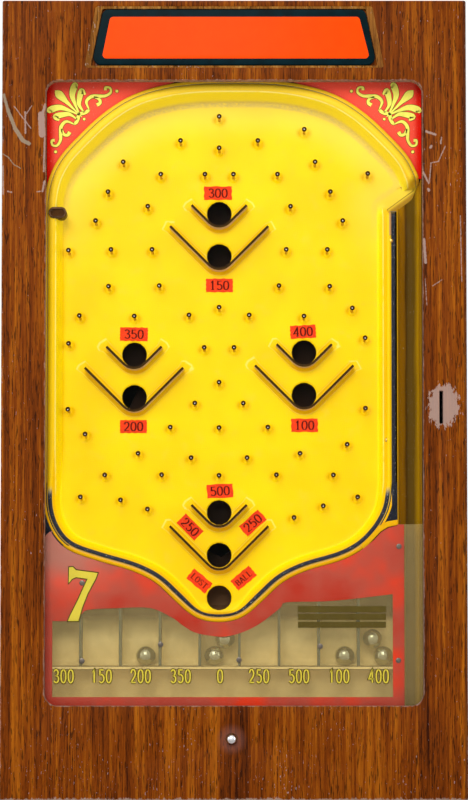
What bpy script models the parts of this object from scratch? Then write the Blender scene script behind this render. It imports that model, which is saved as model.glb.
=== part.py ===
"""Counter-top pin table: an upright one-coin ball game in a wooden cabinet.

Steel balls roll down a stamped tray studded with pins, drop through nine scoring
holes and collect in nine numbered channels. Metres, +Z up. The face looks to -Y,
+X is the player's right, and the origin is the middle of the cabinet's bottom.
"""

import math

import bmesh
import bpy
from mathutils import Vector

MM = 0.001

# ---------------------------------------------------------------- driving sizes
WIDTH = 297 * MM
HEIGHT = 511 * MM
DEPTH = 160 * MM
BOARD = 12.7 * MM              # side, top and bottom boards
FACE_BOARD = 6.35 * MM         # front panel
FACE_CORNER = 6 * MM
DOOR_BOARD = 9.7 * MM
GAP = 0.3 * MM                 # between pieces that touch
RUN = 0.5 * MM                 # between pieces that slide on each other

# window in the front panel, with the glass and the printed sheet behind it
WINDOW_HALF = 120.5 * MM
WINDOW_BOTTOM = 59.5 * MM
WINDOW_TOP = 459.5 * MM
WINDOW_CORNER = 9.5 * MM
GLASS = 2.4 * MM
GLASS_LAP = 3.6 * MM           # how far the glass reaches past the window
GLASS_SEAT = 1.6 * MM          # least width of glass that lies on the right cleat
SHEET = 0.8 * MM
SHEET_HALF = 121.2 * MM
SHEET_TOP_LEFT = 171 * MM
SHEET_TOP_RIGHT = 175.5 * MM

# title plate in its pocket above the window
TITLE_BOTTOM = 469.6 * MM
TITLE_TOP = 505.4 * MM
TITLE_HALF_BOTTOM = 94.6 * MM
TITLE_HALF_TOP = 85.6 * MM
TITLE_PLATE = 2.4 * MM

# ball game
BALL = 12.7 * MM
FIELD_X = -9.7 * MM            # middle of the playfield
TRAY_DEPTH = 16 * MM
TRAY_SHEET = 1 * MM
CREST_CLEAR = 0.35 * MM        # between the tray's crest and the sheet
ARCH_Z = 340 * MM
ARCH_RADIUS = 127 * MM
ARCH_HALF = 118 * MM           # where the arch is clipped at its sides and top
TRAY_RIGHT = 99.4 * MM
EXIT_TOP = 390.5 * MM          # ball lane's exit, a slanting step in the tray
EXIT_BOTTOM = 378 * MM
EXIT_RISE = 4 * MM             # height of the tray's wall along that step
CARD_RISE_SHARE = 0.5625       # of the tray's depth: how far the corner cards stay above the exit
WALL_SLOPE = 6.5 * MM
FLANGE = 4.4 * MM
FLANGE_DROP = 1.5 * MM

# crest of the tray's lower lip: distance from the middle, height
LIP_CURVE = (
    (0 * MM, 117 * MM),
    (13 * MM, 119.5 * MM),
    (25 * MM, 129.5 * MM),
    (38 * MM, 141.5 * MM),
    (54 * MM, 149.5 * MM),
    (76 * MM, 156 * MM),
    (95 * MM, 163 * MM),
)
LIP_STEPS = 3                  # straight pieces between two of those points
LIP_END = 187 * MM             # where the lip meets the tray's upright sides

# scoring holes, in columns of two or three with the same pitch
HOLE_PLAY = 3.3 * MM           # how much wider a hole is than a ball
HOLE_PITCH = 27.6 * MM
TOP_HOLE = 377.8 * MM
LEFT_HOLE = 286 * MM
RIGHT_HOLE = 287.5 * MM
BOTTOM_HOLE = 183.7 * MM
SIDE_COLUMN = 54.9 * MM

# V fences round the holes
FENCE = 1.2 * MM
FENCE_HEIGHT = 9 * MM
FENCE_OFF_HOLE = 1.4 * MM      # between a hole's edge and the middle of the bow under it
SMALL_FENCE_HALF = 17.8 * MM
LARGE_FENCE_HALF = 31.7 * MM

# rebound loop at the left wall
LOOP_Z = 376 * MM
LOOP_HIGH = 7.2 * MM
LOOP_WIDE = 9.5 * MM

# pins: height above the tray's floor, and where they stand
PIN = 11 * MM
PIN_RADIUS = 0.9 * MM
PIN_HEAD_RADIUS = 1.6 * MM
PIN_HEAD = 1.2 * MM
PIN_TILT = math.radians(4)     # heads lean up so that balls can't hop off
MIDDLE_PINS = (439, 418.5, 315, 266.5, 237.2, 206.4)
PAIRED_PINS = (
    (25, 423.3), (62, 409.4), (9.2, 401.4), (37.7, 401.4), (71.8, 390), (46.1, 380.5),
    (79.8, 371.2), (43.3, 352.5), (69.8, 352.5), (38.6, 329), (71.3, 328.6),
    (19.4, 310), (54.7, 309.3), (9.6, 289), (15.6, 253), (31.4, 237.5),
    (52.1, 220.6), (18, 217.8), (36.9, 206.8), (73.5, 206.7), (89.1, 192.5),
)
LEFT_PINS = (
    (97.2, 352), (90.1, 309.6), (97, 291.6), (97.3, 249), (86.2, 233),
    (63.3, 190.6), (46, 184.7),
)
RIGHT_PINS = (
    (55, 430.6), (96, 401.8), (85.9, 314.5), (94.1, 295.2), (94.2, 249.7), (82.4, 226.4),
    (67, 186.8), (48.2, 179.3),
)

# ball lane, a half-round trough up the right side
LANE_PLAY = 0.85 * MM          # between a ball and the lane's wall
LANE_BESIDE = 0.8 * MM         # between the tray's flange and the lane
LANE_SHEET = 0.8 * MM
LANE_BOTTOM = 47 * MM
LANE_MOUTH = 64 * MM           # height of the opening where balls roll in

# collector under the tray: nine channels
CHANNEL = 25.4 * MM
DIVIDER = 1 * MM
DIVIDERS = 8
PAN_SHEET = 1.2 * MM
PAN_LEFT = -122.3 * MM
PAN_RIGHT = 103.8 * MM
PAN_TOP = 101 * MM
CHANNEL_FLOOR = 84.5 * MM
GATE = 1.6 * MM
DIVIDER_UNDER_LIP = 9 * MM

# trough under the gate, leading to the lane's foot
TROUGH_LEFT_Z = 58.5 * MM
TROUGH_RIGHT_Z = 46 * MM
TROUGH_SHEET = 1.2 * MM

# ball guide board behind the tray
GUIDE_BOARD = 3 * MM
GUIDE_PLAY = 1 * MM            # how much deeper the space behind the tray is than a ball
GUIDE_RIB = 1.2 * MM
GUIDE_SHORT = 2.4 * MM         # how far the board stops inside the right cleat
RAMP_TOP = 122 * MM

# cleats that carry the glass, the tray and the guide board
LEFT_CLEAT_CLEAR = 1.8 * MM    # from the sheet's edge
RIGHT_CLEAT_CLEAR = 1.9 * MM   # from the lane
CHUTE_CLEAT_CLEAR = 0.55 * MM  # between the right cleat and the coin chute

# release button, rocker and gate
BUTTON_X = -1.5 * MM
BUTTON_Z = 38.4 * MM
BUTTON_RADIUS = 3.3 * MM
BUTTON_PROUD = 5 * MM
ROD_RADIUS = 1.8 * MM
ROCKER_RISE = 7.3 * MM         # pivot above the bottom board
ROCKER_BEHIND = 11.8 * MM      # behind the collector pan
ROCKER_SHEET = 2 * MM
ROCKER_WIDE = 7 * MM

# flick lever, its shaft and the kicker under the lane
SHAFT_BEHIND = 33 * MM         # behind the lane's axis
SHAFT_Z = 36 * MM
SHAFT_RADIUS = 3 * MM
KICKER_DROP = 1 * MM           # pad's top under the lane's end
KICKER_ARM = 3 * MM
LEVER_CLEAR = 2.5 * MM         # between the cabinet's side and the lever
LEVER_LENGTH = 50 * MM
LEVER_SHEET = 4 * MM
LEVER_RISE = math.radians(20)
KNOB_RADIUS = 8 * MM
KNOB_LENGTH = 20 * MM

# coin way
CHUTE_SIDE_CLEAR = 1.65 * MM   # between the chute and the cabinet's side
COIN_SLOT_WIDE = 2.3 * MM
COIN_SLOT_TALL = 21 * MM
COIN_SLOT_Z = 249.5 * MM
CHUTE_WIDE = 23 * MM
CHUTE_SPACE = 2.6 * MM
CHUTE_SHEET = 0.8 * MM
CHUTE_BEHIND = 3 * MM          # middle of the drop behind the guide board's face
CHUTE_STEP_Z = 128 * MM        # where the chute turns back towards the coin box
CHUTE_BOTTOM = 68 * MM
CHUTE_OVER_BOX = 15 * MM       # the chute's last middle line behind the box's front
TRIP_Z = 150 * MM
COIN_BOX_HIGH = 45 * MM
COIN_BOX_WIDE = 73.3 * MM
COIN_BOX_BEHIND = 12 * MM      # behind the lever's shaft
COIN_BOX_SLIDE = 14 * MM       # room behind the box, in front of the back rail
COIN_BOX_WALL = 1 * MM

# service door at the back
RAIL = 30 * MM
HINGE_TALL = 45 * MM
HINGE_LEAF = 1.2 * MM
HINGE_WIDE = 11 * MM
KNUCKLE_RADIUS = 2.2 * MM
HINGE_PIN_RADIUS = 1 * MM
LOCK_RADIUS = 9 * MM
LOCK_X = 117 * MM
CAM_CLEAR = 1.3 * MM           # between the turned cam and the cabinet's side

# ---------------------------------------------------------------- derived places
FRONT = -DEPTH / 2
BACK = DEPTH / 2
SIDE_IN = WIDTH / 2 - BOARD
FACE_BACK = FRONT + FACE_BOARD
GLASS_FRONT = FACE_BACK + GAP
GLASS_BACK = GLASS_FRONT + GLASS
SHEET_FRONT = GLASS_BACK + GAP
SHEET_BACK = SHEET_FRONT + SHEET
GAME_FRONT = SHEET_BACK + RUN                  # nothing behind the sheet passes this
CREST_Y = GAME_FRONT + CREST_CLEAR
TRAY_FLOOR_Y = CREST_Y + TRAY_DEPTH
CARD_RISE = CARD_RISE_SHARE * TRAY_DEPTH
TRAY_BACK = TRAY_FLOOR_Y + TRAY_SHEET
PAN_FRONT = TRAY_FLOOR_Y
PAN_BACK = PAN_FRONT + PAN_SHEET
GUIDE_FRONT = TRAY_BACK + GAP + BALL + GUIDE_PLAY
GUIDE_BACK = GUIDE_FRONT + GUIDE_BOARD
BALL_Y = PAN_FRONT - BALL / 2 - RUN
BALL_REST_Z = CHANNEL_FLOOR + BALL / 2 + GAP
GATE_TOP = CHANNEL_FLOOR - GAP
GATE_BOTTOM = GATE_TOP - GATE
LANE_AXIS_Y = SHEET_BACK + RUN + BALL / 2
LANE_HALF = BALL / 2 + LANE_PLAY
LANE_X = TRAY_RIGHT + FLANGE + LANE_BESIDE + LANE_SHEET + LANE_HALF
HOLE = BALL + HOLE_PLAY
FENCE_BOW = HOLE / 2 + FENCE_OFF_HOLE
ROCKER_PIVOT_Z = BOARD + ROCKER_RISE
ROCKER_Y = PAN_BACK + ROCKER_BEHIND
SHAFT_Y = LANE_AXIS_Y + SHAFT_BEHIND
KICKER_TOP = LANE_BOTTOM - KICKER_DROP
CHUTE_HALF = CHUTE_SPACE / 2 + CHUTE_SHEET
COIN_X = SIDE_IN - CHUTE_SIDE_CLEAR - CHUTE_HALF
CHUTE_DROP_Y = GUIDE_FRONT + CHUTE_BEHIND
COIN_BOX_FRONT = SHAFT_Y + COIN_BOX_BEHIND
CHUTE_OUT_Y = COIN_BOX_FRONT + CHUTE_OVER_BOX
LEFT_CLEAT_INNER = SHEET_HALF + LEFT_CLEAT_CLEAR
RIGHT_CLEAT_INNER = LANE_X + LANE_HALF + LANE_SHEET + RIGHT_CLEAT_CLEAR
RIGHT_CLEAT_OUTER = COIN_X - CHUTE_HALF - CHUTE_CLEAT_CLEAR
GUIDE_RIGHT = RIGHT_CLEAT_OUTER - GUIDE_SHORT

TAU = 2 * math.pi
AXIS_TURN = {
    "X": (0, math.pi / 2, 0),
    "Y": (math.pi / 2, 0, 0),
    "Z": (0, 0, 0),
}
PLANE_TURN = {
    "XY": (0, 0, 0),
    "XZ": (math.pi / 2, 0, 0),
    "YZ": (math.pi / 2, 0, math.pi / 2),
}


# ---------------------------------------------------------------- scene and helpers
def clear_scene():
    for item in list(bpy.data.objects):
        bpy.data.objects.remove(item, do_unlink=True)


def new_collection(name):
    collection = bpy.data.collections.new(name)
    bpy.context.scene.collection.children.link(collection)
    return collection


def material(name, colour, roughness, metallic=0.0):
    made = bpy.data.materials.new(name)
    made.use_nodes = True
    shader = made.node_tree.nodes["Principled BSDF"]
    shader.inputs["Base Color"].default_value = (*colour, 1)
    shader.inputs["Roughness"].default_value = roughness
    shader.inputs["Metallic"].default_value = metallic
    return made


clear_scene()
PARTS = new_collection("pin_table")
CUTTERS = new_collection("cutters")

WOOD = material("varnished_wood", (0.35, 0.10, 0.015), 0.3)
DOOR_WOOD = material("plain_wood", (0.42, 0.26, 0.12), 0.6)
STEEL = material("steel", (0.45, 0.45, 0.43), 0.35, 1)
DARK_STEEL = material("dark_steel", (0.07, 0.05, 0.035), 0.45, 1)
CHROME = material("chrome", (0.8, 0.8, 0.8), 0.1, 1)
BRASS = material("brass", (0.5, 0.33, 0.06), 0.4, 1)
YELLOW = material("yellow_enamel", (0.95, 0.78, 0.01), 0.35)
TAN = material("tan_enamel", (0.5, 0.38, 0.2), 0.45)
TIN = material("tinplate", (0.5, 0.5, 0.48), 0.4, 1)
RED_CARD = material("red_card", (0.8, 0.06, 0.03), 0.5)
TITLE_RED = material("title_red", (0.95, 0.06, 0.01), 0.4)
GLASS_CLEAR = material("glass", (0.9, 0.95, 0.92), 0.03)
CELLULOID = material("celluloid", (0.6, 0.2, 0.12), 0.2)
BLACK = material("black_knob", (0.02, 0.02, 0.02), 0.25)


def add_object(name, data, look, collection=None):
    item = bpy.data.objects.new(name, data)
    (collection or PARTS).objects.link(item)
    if look:
        data.materials.append(look)
    return item


def smooth(item):
    item.data.shade_smooth()
    item.data.set_sharp_from_angle(angle=math.radians(35))


def block(name, low, high, look, origin=None):
    """A box between two corners, with its origin at its middle or at a given point."""
    low = Vector(low)
    high = Vector(high)
    middle = (low + high) / 2
    place = Vector(origin) if origin else middle
    mesh = bpy.data.meshes.new(name)
    shape = bmesh.new()
    bmesh.ops.create_cube(shape, size=1)
    for vertex in shape.verts:
        vertex.co = middle - place + Vector(a * b for a, b in zip(vertex.co, high - low))
    shape.to_mesh(mesh)
    shape.free()
    item = add_object(name, mesh, look)
    item.location = place
    return item


def cylinder(name, axis, start, radius, length, look, sides=16, end_radius=None):
    """A round bar along an axis from its start point, or a cone if the end differs."""
    mesh = bpy.data.meshes.new(name)
    shape = bmesh.new()
    turn = {"X": 0, "Y": 1, "Z": 2}[axis]
    first, last = (radius, radius if end_radius is None else end_radius)
    if axis == "Y":
        first, last = last, first
    bmesh.ops.create_cone(
        shape, cap_ends=True, segments=sides, radius1=first, radius2=last, depth=length)
    shape.to_mesh(mesh)
    shape.free()
    item = add_object(name, mesh, look)
    middle = Vector(start)
    middle[turn] += length / 2
    item.location = middle
    item.rotation_euler = AXIS_TURN[axis]
    smooth(item)
    return item


def ball(name, centre, look):
    mesh = bpy.data.meshes.new(name)
    shape = bmesh.new()
    bmesh.ops.create_uvsphere(shape, u_segments=12, v_segments=8, radius=BALL / 2)
    shape.to_mesh(mesh)
    shape.free()
    item = add_object(name, mesh, look)
    item.location = centre
    smooth(item)
    return item


def extruded(name, outlines, plane, start, depth, look, origin=(0, 0)):
    """A flat outline, with holes if more are given, pushed from start along its normal."""
    curve = bpy.data.curves.new(name, "CURVE")
    curve.dimensions = "2D"
    curve.fill_mode = "BOTH"
    curve.extrude = depth / 2
    for outline in outlines:
        spline = curve.splines.new("POLY")
        spline.points.add(len(outline) - 1)
        for point, (across, up) in zip(spline.points, outline):
            point.co = (across - origin[0], up - origin[1], 0, 1)
        spline.use_cyclic_u = True
    item = add_object(name, curve, look)
    middle = start + depth / 2
    item.location = {
        "XY": (origin[0], origin[1], middle),
        "XZ": (origin[0], middle, origin[1]),
        "YZ": (middle, origin[0], origin[1]),
    }[plane]
    item.rotation_euler = PLANE_TURN[plane]
    return item


def as_mesh(item):
    """Turn a curve object into a closed mesh object, so that a Boolean can take it."""
    bpy.context.view_layer.update()
    evaluated = item.evaluated_get(bpy.context.evaluated_depsgraph_get())
    mesh = bpy.data.meshes.new_from_object(evaluated)
    shape = bmesh.new()
    shape.from_mesh(mesh)
    bmesh.ops.remove_doubles(shape, verts=shape.verts, dist=0.00001)
    bmesh.ops.recalc_face_normals(shape, faces=shape.faces)
    shape.to_mesh(mesh)
    shape.free()
    name = item.name
    matrix = item.matrix_world.copy()
    bpy.data.objects.remove(item, do_unlink=True)
    made = add_object(name, mesh, None)
    made.matrix_world = matrix
    return made


def boolean(target, tool, operation):
    modifier = target.modifiers.new(tool.name, "BOOLEAN")
    modifier.operation = operation
    modifier.solver = "EXACT"
    modifier.object = tool
    for collection in list(tool.users_collection):
        collection.objects.unlink(tool)
    CUTTERS.objects.link(tool)
    tool.hide_render = True
    tool.display_type = "WIRE"


def cut(target, tool):
    boolean(target, tool, "DIFFERENCE")


def join(target, tool):
    boolean(target, tool, "UNION")


def arc(centre, radius, first, last, steps):
    """Points on a circle from the first angle to the last, in degrees."""
    points = []
    for step in range(steps + 1):
        angle = math.radians(first + (last - first) * step / steps)
        points.append((centre[0] + radius * math.cos(angle), centre[1] + radius * math.sin(angle)))
    return points


def rounded_box(left, right, bottom, top, radius, steps=4):
    points = []
    points += arc((right - radius, bottom + radius), radius, -90, 0, steps)
    points += arc((right - radius, top - radius), radius, 0, 90, steps)
    points += arc((left + radius, top - radius), radius, 90, 180, steps)
    points += arc((left + radius, bottom + radius), radius, 180, 270, steps)
    return points


def mean_normals(path, closed):
    """Unit normals to the right of travel at each point, stretched at corners."""
    normals = []
    count = len(path)
    for index in range(count):
        before = path[index - 1] if closed or index else None
        after = path[(index + 1) % count] if closed or index < count - 1 else None
        here = Vector(path[index])
        sides = []
        if before is not None:
            sides.append((here - Vector(before)).normalized())
        if after is not None:
            sides.append((Vector(after) - here).normalized())
        mean = sum(sides, Vector((0, 0))).normalized()
        normal = Vector((mean.y, -mean.x))
        first = Vector((sides[0].y, -sides[0].x))
        normals.append(normal / max(normal.dot(first), 0.5))
    return normals


def shifted(path, distance, closed=False):
    normals = mean_normals(path, closed)
    return [tuple(Vector(point) + normal * distance) for point, normal in zip(path, normals)]


def strip(path, thickness):
    """The closed outline of a bent strip whose middle follows the path."""
    return shifted(path, thickness / 2) + shifted(path, -thickness / 2)[::-1]


def smooth_curve(points, steps):
    """A Catmull-Rom curve through the points."""
    ends = [points[0]] + list(points) + [points[-1]]
    curve = []
    for index in range(1, len(ends) - 2):
        a, b, c, d = (Vector(point) for point in ends[index - 1:index + 3])
        for step in range(steps):
            t = step / steps
            point = 0.5 * (
                2 * b + (c - a) * t + (2 * a - 5 * b + 4 * c - d) * t ** 2
                + (3 * b - a - 3 * c + d) * t ** 3)
            curve.append(tuple(point))
    curve.append(tuple(points[-1]))
    return curve


def coil(name, axis, start, radius, wire, turns, length, look):
    """A helical spring along an axis, made of straight pieces of wire."""
    per_turn = 10
    curve = bpy.data.curves.new(name, "CURVE")
    curve.dimensions = "3D"
    curve.bevel_depth = wire / 2
    curve.bevel_resolution = 1
    curve.use_fill_caps = True
    spline = curve.splines.new("POLY")
    count = turns * per_turn + 1
    spline.points.add(count - 1)
    usable = length - wire
    for index, point in enumerate(spline.points):
        angle = TAU * index / per_turn
        along = wire / 2 + usable * index / (count - 1)
        point.co = (radius * math.cos(angle), radius * math.sin(angle), along, 1)
    item = add_object(name, curve, look)
    item.location = start
    item.rotation_euler = {"Y": (-math.pi / 2, 0, 0), "Z": (0, 0, 0)}[axis]
    return item


# ---------------------------------------------------------------- cabinet
def make_boards():
    side_front = FACE_BACK + GAP
    for name, side in (("left_side", -1), ("right_side", 1)):
        inner = side * SIDE_IN
        outer = side * WIDTH / 2
        board = block(
            name, (min(inner, outer), side_front, 0), (max(inner, outer), BACK, HEIGHT), WOOD)
        if side > 0:
            bore = cylinder(
                "bushing_bore", "X", (SIDE_IN - BOARD, SHAFT_Y, SHAFT_Z),
                SHAFT_RADIUS + 2.5 * MM + 2 * GAP, 3 * BOARD, None, 20)
            cut(board, bore)
    reach = SIDE_IN - GAP
    block("bottom_board", (-reach, side_front, 0), (reach, BACK, BOARD), WOOD)
    block("top_board", (-reach, side_front, HEIGHT - BOARD), (reach, BACK, HEIGHT), WOOD)
    rail_front = BACK - BOARD
    block(
        "back_bottom_rail", (-reach, rail_front, BOARD + GAP),
        (reach, BACK, BOARD + GAP + RAIL), WOOD)
    block(
        "back_top_rail", (-reach, rail_front, HEIGHT - BOARD - GAP - RAIL),
        (reach, BACK, HEIGHT - BOARD - GAP), WOOD)


def title_outline(spread):
    """The title plate's trapezoid, grown all round by spread."""
    return [
        (-TITLE_HALF_BOTTOM - spread, TITLE_BOTTOM - spread),
        (TITLE_HALF_BOTTOM + spread, TITLE_BOTTOM - spread),
        (TITLE_HALF_TOP + spread, TITLE_TOP + spread),
        (-TITLE_HALF_TOP - spread, TITLE_TOP + spread),
    ]


def make_front_panel():
    face = rounded_box(-WIDTH / 2, WIDTH / 2, 0, HEIGHT, FACE_CORNER)
    window = rounded_box(-WINDOW_HALF, WINDOW_HALF, WINDOW_BOTTOM, WINDOW_TOP, WINDOW_CORNER)
    panel = as_mesh(extruded("front_panel", [face, window], "XZ", FRONT, FACE_BOARD, None))
    panel.data.materials.append(WOOD)
    pocket_deep = TITLE_PLATE + 3 * GAP
    pocket = as_mesh(extruded(
        "title_pocket", [title_outline(2 * GAP)], "XZ", FRONT - BOARD, BOARD + pocket_deep, None))
    cut(panel, pocket)
    slot_half = COIN_SLOT_WIDE / 2
    slot = block(
        "coin_slot", (COIN_X - slot_half, FRONT - BOARD, COIN_SLOT_Z - COIN_SLOT_TALL / 2),
        (COIN_X + slot_half, FACE_BACK + BOARD, COIN_SLOT_Z + COIN_SLOT_TALL / 2), None)
    cut(panel, slot)
    button_bore = cylinder(
        "button_bore", "Y", (BUTTON_X, FRONT - BOARD, BUTTON_Z),
        BUTTON_RADIUS + GAP, 2 * BOARD + FACE_BOARD, None, 20)
    cut(panel, button_bore)
    extruded(
        "title_plate", [title_outline(0)], "XZ", FRONT + 2 * GAP, TITLE_PLATE, TITLE_RED)


def make_window():
    reach = max(WINDOW_HALF + GLASS_LAP, RIGHT_CLEAT_INNER + GLASS_SEAT)
    block(
        "window_glass", (-reach, GLASS_FRONT, WINDOW_BOTTOM - GLASS_LAP),
        (reach, GLASS_BACK, WINDOW_TOP + GLASS_LAP), GLASS_CLEAR)
    bottom = WINDOW_BOTTOM - GLASS_LAP + GAP
    outline = [
        (-SHEET_HALF, bottom), (SHEET_HALF, bottom), (SHEET_HALF, SHEET_TOP_RIGHT),
        (-SHEET_HALF, SHEET_TOP_LEFT),
    ]
    extruded("score_sheet", [outline], "XZ", SHEET_FRONT, SHEET, CELLULOID)
    low = WINDOW_BOTTOM - GLASS_LAP
    high = WINDOW_TOP + GLASS_LAP
    front = GLASS_BACK + GAP
    back = GUIDE_FRONT - GAP
    block("left_cleat", (GAP - SIDE_IN, front, low), (-LEFT_CLEAT_INNER, back, high), DOOR_WOOD)
    block(
        "right_cleat", (RIGHT_CLEAT_INNER, front, low), (RIGHT_CLEAT_OUTER, back, high), DOOR_WOOD)


def make_corner_cards():
    """Two flat cards that fill the window's top corners behind the tray's flange."""
    card = 0.5 * MM
    top = WINDOW_TOP + GLASS_LAP
    start = CREST_Y + FLANGE_DROP + TRAY_SHEET + 3 * GAP
    inner = ARCH_RADIUS + GAP
    bottom = EXIT_TOP + CARD_RISE
    low = math.degrees(math.asin((bottom - ARCH_Z) / inner))
    high = math.degrees(math.asin((top - ARCH_Z) / inner))
    edge = WINDOW_HALF + GAP
    right = arc((0, ARCH_Z), inner, low, high, 10) + [(edge, top), (edge, bottom)]
    left = [(-across, up) for across, up in reversed(right)]
    extruded("corner_card_right", [right], "XZ", start, card, RED_CARD)
    extruded("corner_card_left", [left], "XZ", start, card, RED_CARD)


# ---------------------------------------------------------------- playfield
def tray_outline():
    """The tray's crest, from the lip's middle leftwards and round, in (x, z)."""
    lip = smooth_curve(LIP_CURVE, LIP_STEPS)
    left_edge = -ARCH_HALF
    right_edge = TRAY_RIGHT
    shoulder = math.degrees(math.acos(ARCH_HALF / ARCH_RADIUS))
    exit_angle = math.degrees(math.asin((EXIT_TOP - ARCH_Z) / ARCH_RADIUS))
    points = [(FIELD_X - across, up) for across, up in lip]
    points += [(left_edge + 4 * MM, lip[-1][1] + 11 * MM), (left_edge, LIP_END)]
    points += arc((0, ARCH_Z), ARCH_RADIUS, 180 - shoulder, 90 + shoulder, 12)
    points += arc((0, ARCH_Z), ARCH_RADIUS, 90 - shoulder, exit_angle, 12)
    points += [(right_edge, EXIT_BOTTOM), (right_edge, LIP_END)]
    points += [(right_edge - 4 * MM, lip[-1][1] + 11 * MM)]
    points += [(FIELD_X + across, up) for across, up in reversed(lip[1:])]
    return points


def crest_height(point):
    """How far a point of the crest stands above the floor: less at the lane's exit."""
    at_exit = point[0] > TRAY_RIGHT - MM and EXIT_BOTTOM - MM < point[1] < EXIT_TOP + MM
    return EXIT_RISE if at_exit else TRAY_DEPTH


def tray_shell():
    """The stamped surface: floor, sloping wall, crest and flange."""
    crest = tray_outline()
    foot = shifted(crest, WALL_SLOPE, closed=True)
    rim = shifted(crest, -FLANGE, closed=True)
    shape = bmesh.new()
    loops = []
    for ring, drop in ((foot, None), (crest, 0), (rim, FLANGE_DROP)):
        loop = []
        for point, top in zip(ring, crest):
            rise = 0 if drop is None else max(crest_height(top) - drop, 0)
            loop.append(shape.verts.new((point[0], TRAY_FLOOR_Y - rise, point[1])))
        loops.append(loop)
    count = len(crest)
    for inner, outer in zip(loops, loops[1:]):
        for index in range(count):
            after = (index + 1) % count
            shape.faces.new((inner[index], inner[after], outer[after], outer[index]))
    shape.faces.new(loops[0])
    bmesh.ops.recalc_face_normals(shape, faces=shape.faces)
    floor = max(shape.faces, key=lambda face: face.calc_area())
    if floor.normal.y > 0:
        bmesh.ops.reverse_faces(shape, faces=shape.faces)
    return shape


def make_tray():
    mesh = bpy.data.meshes.new("playfield_tray")
    shape = tray_shell()
    shape.to_mesh(mesh)
    shape.free()
    tray = add_object("playfield_tray", mesh, YELLOW)
    solid = tray.modifiers.new("sheet", "SOLIDIFY")
    solid.thickness = TRAY_SHEET
    solid.offset = -1
    for index, (across, up) in enumerate(hole_places()):
        cut(tray, cylinder(
            f"hole_{index + 1}", "Y", (across, CREST_Y, up), HOLE / 2, 2 * TRAY_DEPTH, None, 16))
    join(tray, pin_set())


def hole_places():
    columns = (
        (0, TOP_HOLE, 2), (-SIDE_COLUMN, LEFT_HOLE, 2), (SIDE_COLUMN, RIGHT_HOLE, 2),
        (0, BOTTOM_HOLE, 3),
    )
    places = []
    for across, top, count in columns:
        for step in range(count):
            places.append((FIELD_X + across, top - HOLE_PITCH * step))
    return places


def pin_places():
    places = [(FIELD_X, up * MM) for up in MIDDLE_PINS]
    for across, up in PAIRED_PINS + LEFT_PINS:
        places.append((FIELD_X - across * MM, up * MM))
    for across, up in PAIRED_PINS + RIGHT_PINS:
        places.append((FIELD_X + across * MM, up * MM))
    return places


def pin_set():
    """All the pins, each a six-sided shank with a head, rooted in the tray's sheet."""
    sides = 6
    root = TRAY_FLOOR_Y + TRAY_SHEET / 2
    rings = (
        (root, PIN_RADIUS), (TRAY_FLOOR_Y - PIN + PIN_HEAD, PIN_RADIUS),
        (TRAY_FLOOR_Y - PIN + PIN_HEAD, PIN_HEAD_RADIUS), (TRAY_FLOOR_Y - PIN, PIN_HEAD_RADIUS),
    )
    shape = bmesh.new()
    for across, up in pin_places():
        loops = []
        for along, radius in rings:
            lean = (TRAY_FLOOR_Y - along) * math.tan(PIN_TILT)
            loop = []
            for side in range(sides):
                angle = TAU * side / sides
                loop.append(shape.verts.new((
                    across + radius * math.cos(angle), along,
                    up + lean + radius * math.sin(angle))))
            loops.append(loop)
        for lower, upper in zip(loops, loops[1:]):
            for side in range(sides):
                after = (side + 1) % sides
                shape.faces.new((lower[side], lower[after], upper[after], upper[side]))
        shape.faces.new(loops[0])
        shape.faces.new(loops[-1])
    bmesh.ops.recalc_face_normals(shape, faces=shape.faces)
    mesh = bpy.data.meshes.new("pins")
    shape.to_mesh(mesh)
    shape.free()
    return add_object("pins", mesh, None)


def make_fence(name, across, up, half):
    """A strip with two arms at 45 degrees and a bow that hugs the underside of a hole."""
    arm = half - FENCE_BOW * math.sqrt(0.5)
    bow = arc((across, up), FENCE_BOW, 225, 315, 6)
    path = [(bow[0][0] - arm, bow[0][1] + arm)] + bow + [(bow[-1][0] + arm, bow[-1][1] + arm)]
    start = TRAY_FLOOR_Y - GAP - FENCE_HEIGHT
    extruded(name, [strip(path, FENCE)], "XZ", start, FENCE_HEIGHT, DARK_STEEL, (across, up))


def make_fences():
    columns = (
        ("top", 0, TOP_HOLE), ("left", -SIDE_COLUMN, LEFT_HOLE),
        ("right", SIDE_COLUMN, RIGHT_HOLE), ("bottom", 0, BOTTOM_HOLE),
    )
    for place, across, up in columns:
        make_fence(f"{place}_small_fence", FIELD_X + across, up, SMALL_FENCE_HALF)
        make_fence(f"{place}_large_fence", FIELD_X + across, up - HOLE_PITCH, LARGE_FENCE_HALF)


def make_rebound_loop():
    """A flat spring loop at the left wall that turns the ball back."""
    half = LOOP_HIGH / 2
    left = -ARCH_HALF + WALL_SLOPE + FENCE
    right = left + LOOP_WIDE
    outer = arc((right - half, LOOP_Z), half, -90, 90, 8)
    outer += arc((left + half, LOOP_Z), half, 90, 270, 8)
    inner = shifted(outer, -FENCE, closed=True)
    start = TRAY_FLOOR_Y - GAP - FENCE_HEIGHT
    extruded("rebound_loop", [outer, inner], "XZ", start, FENCE_HEIGHT, DARK_STEEL)


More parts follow.
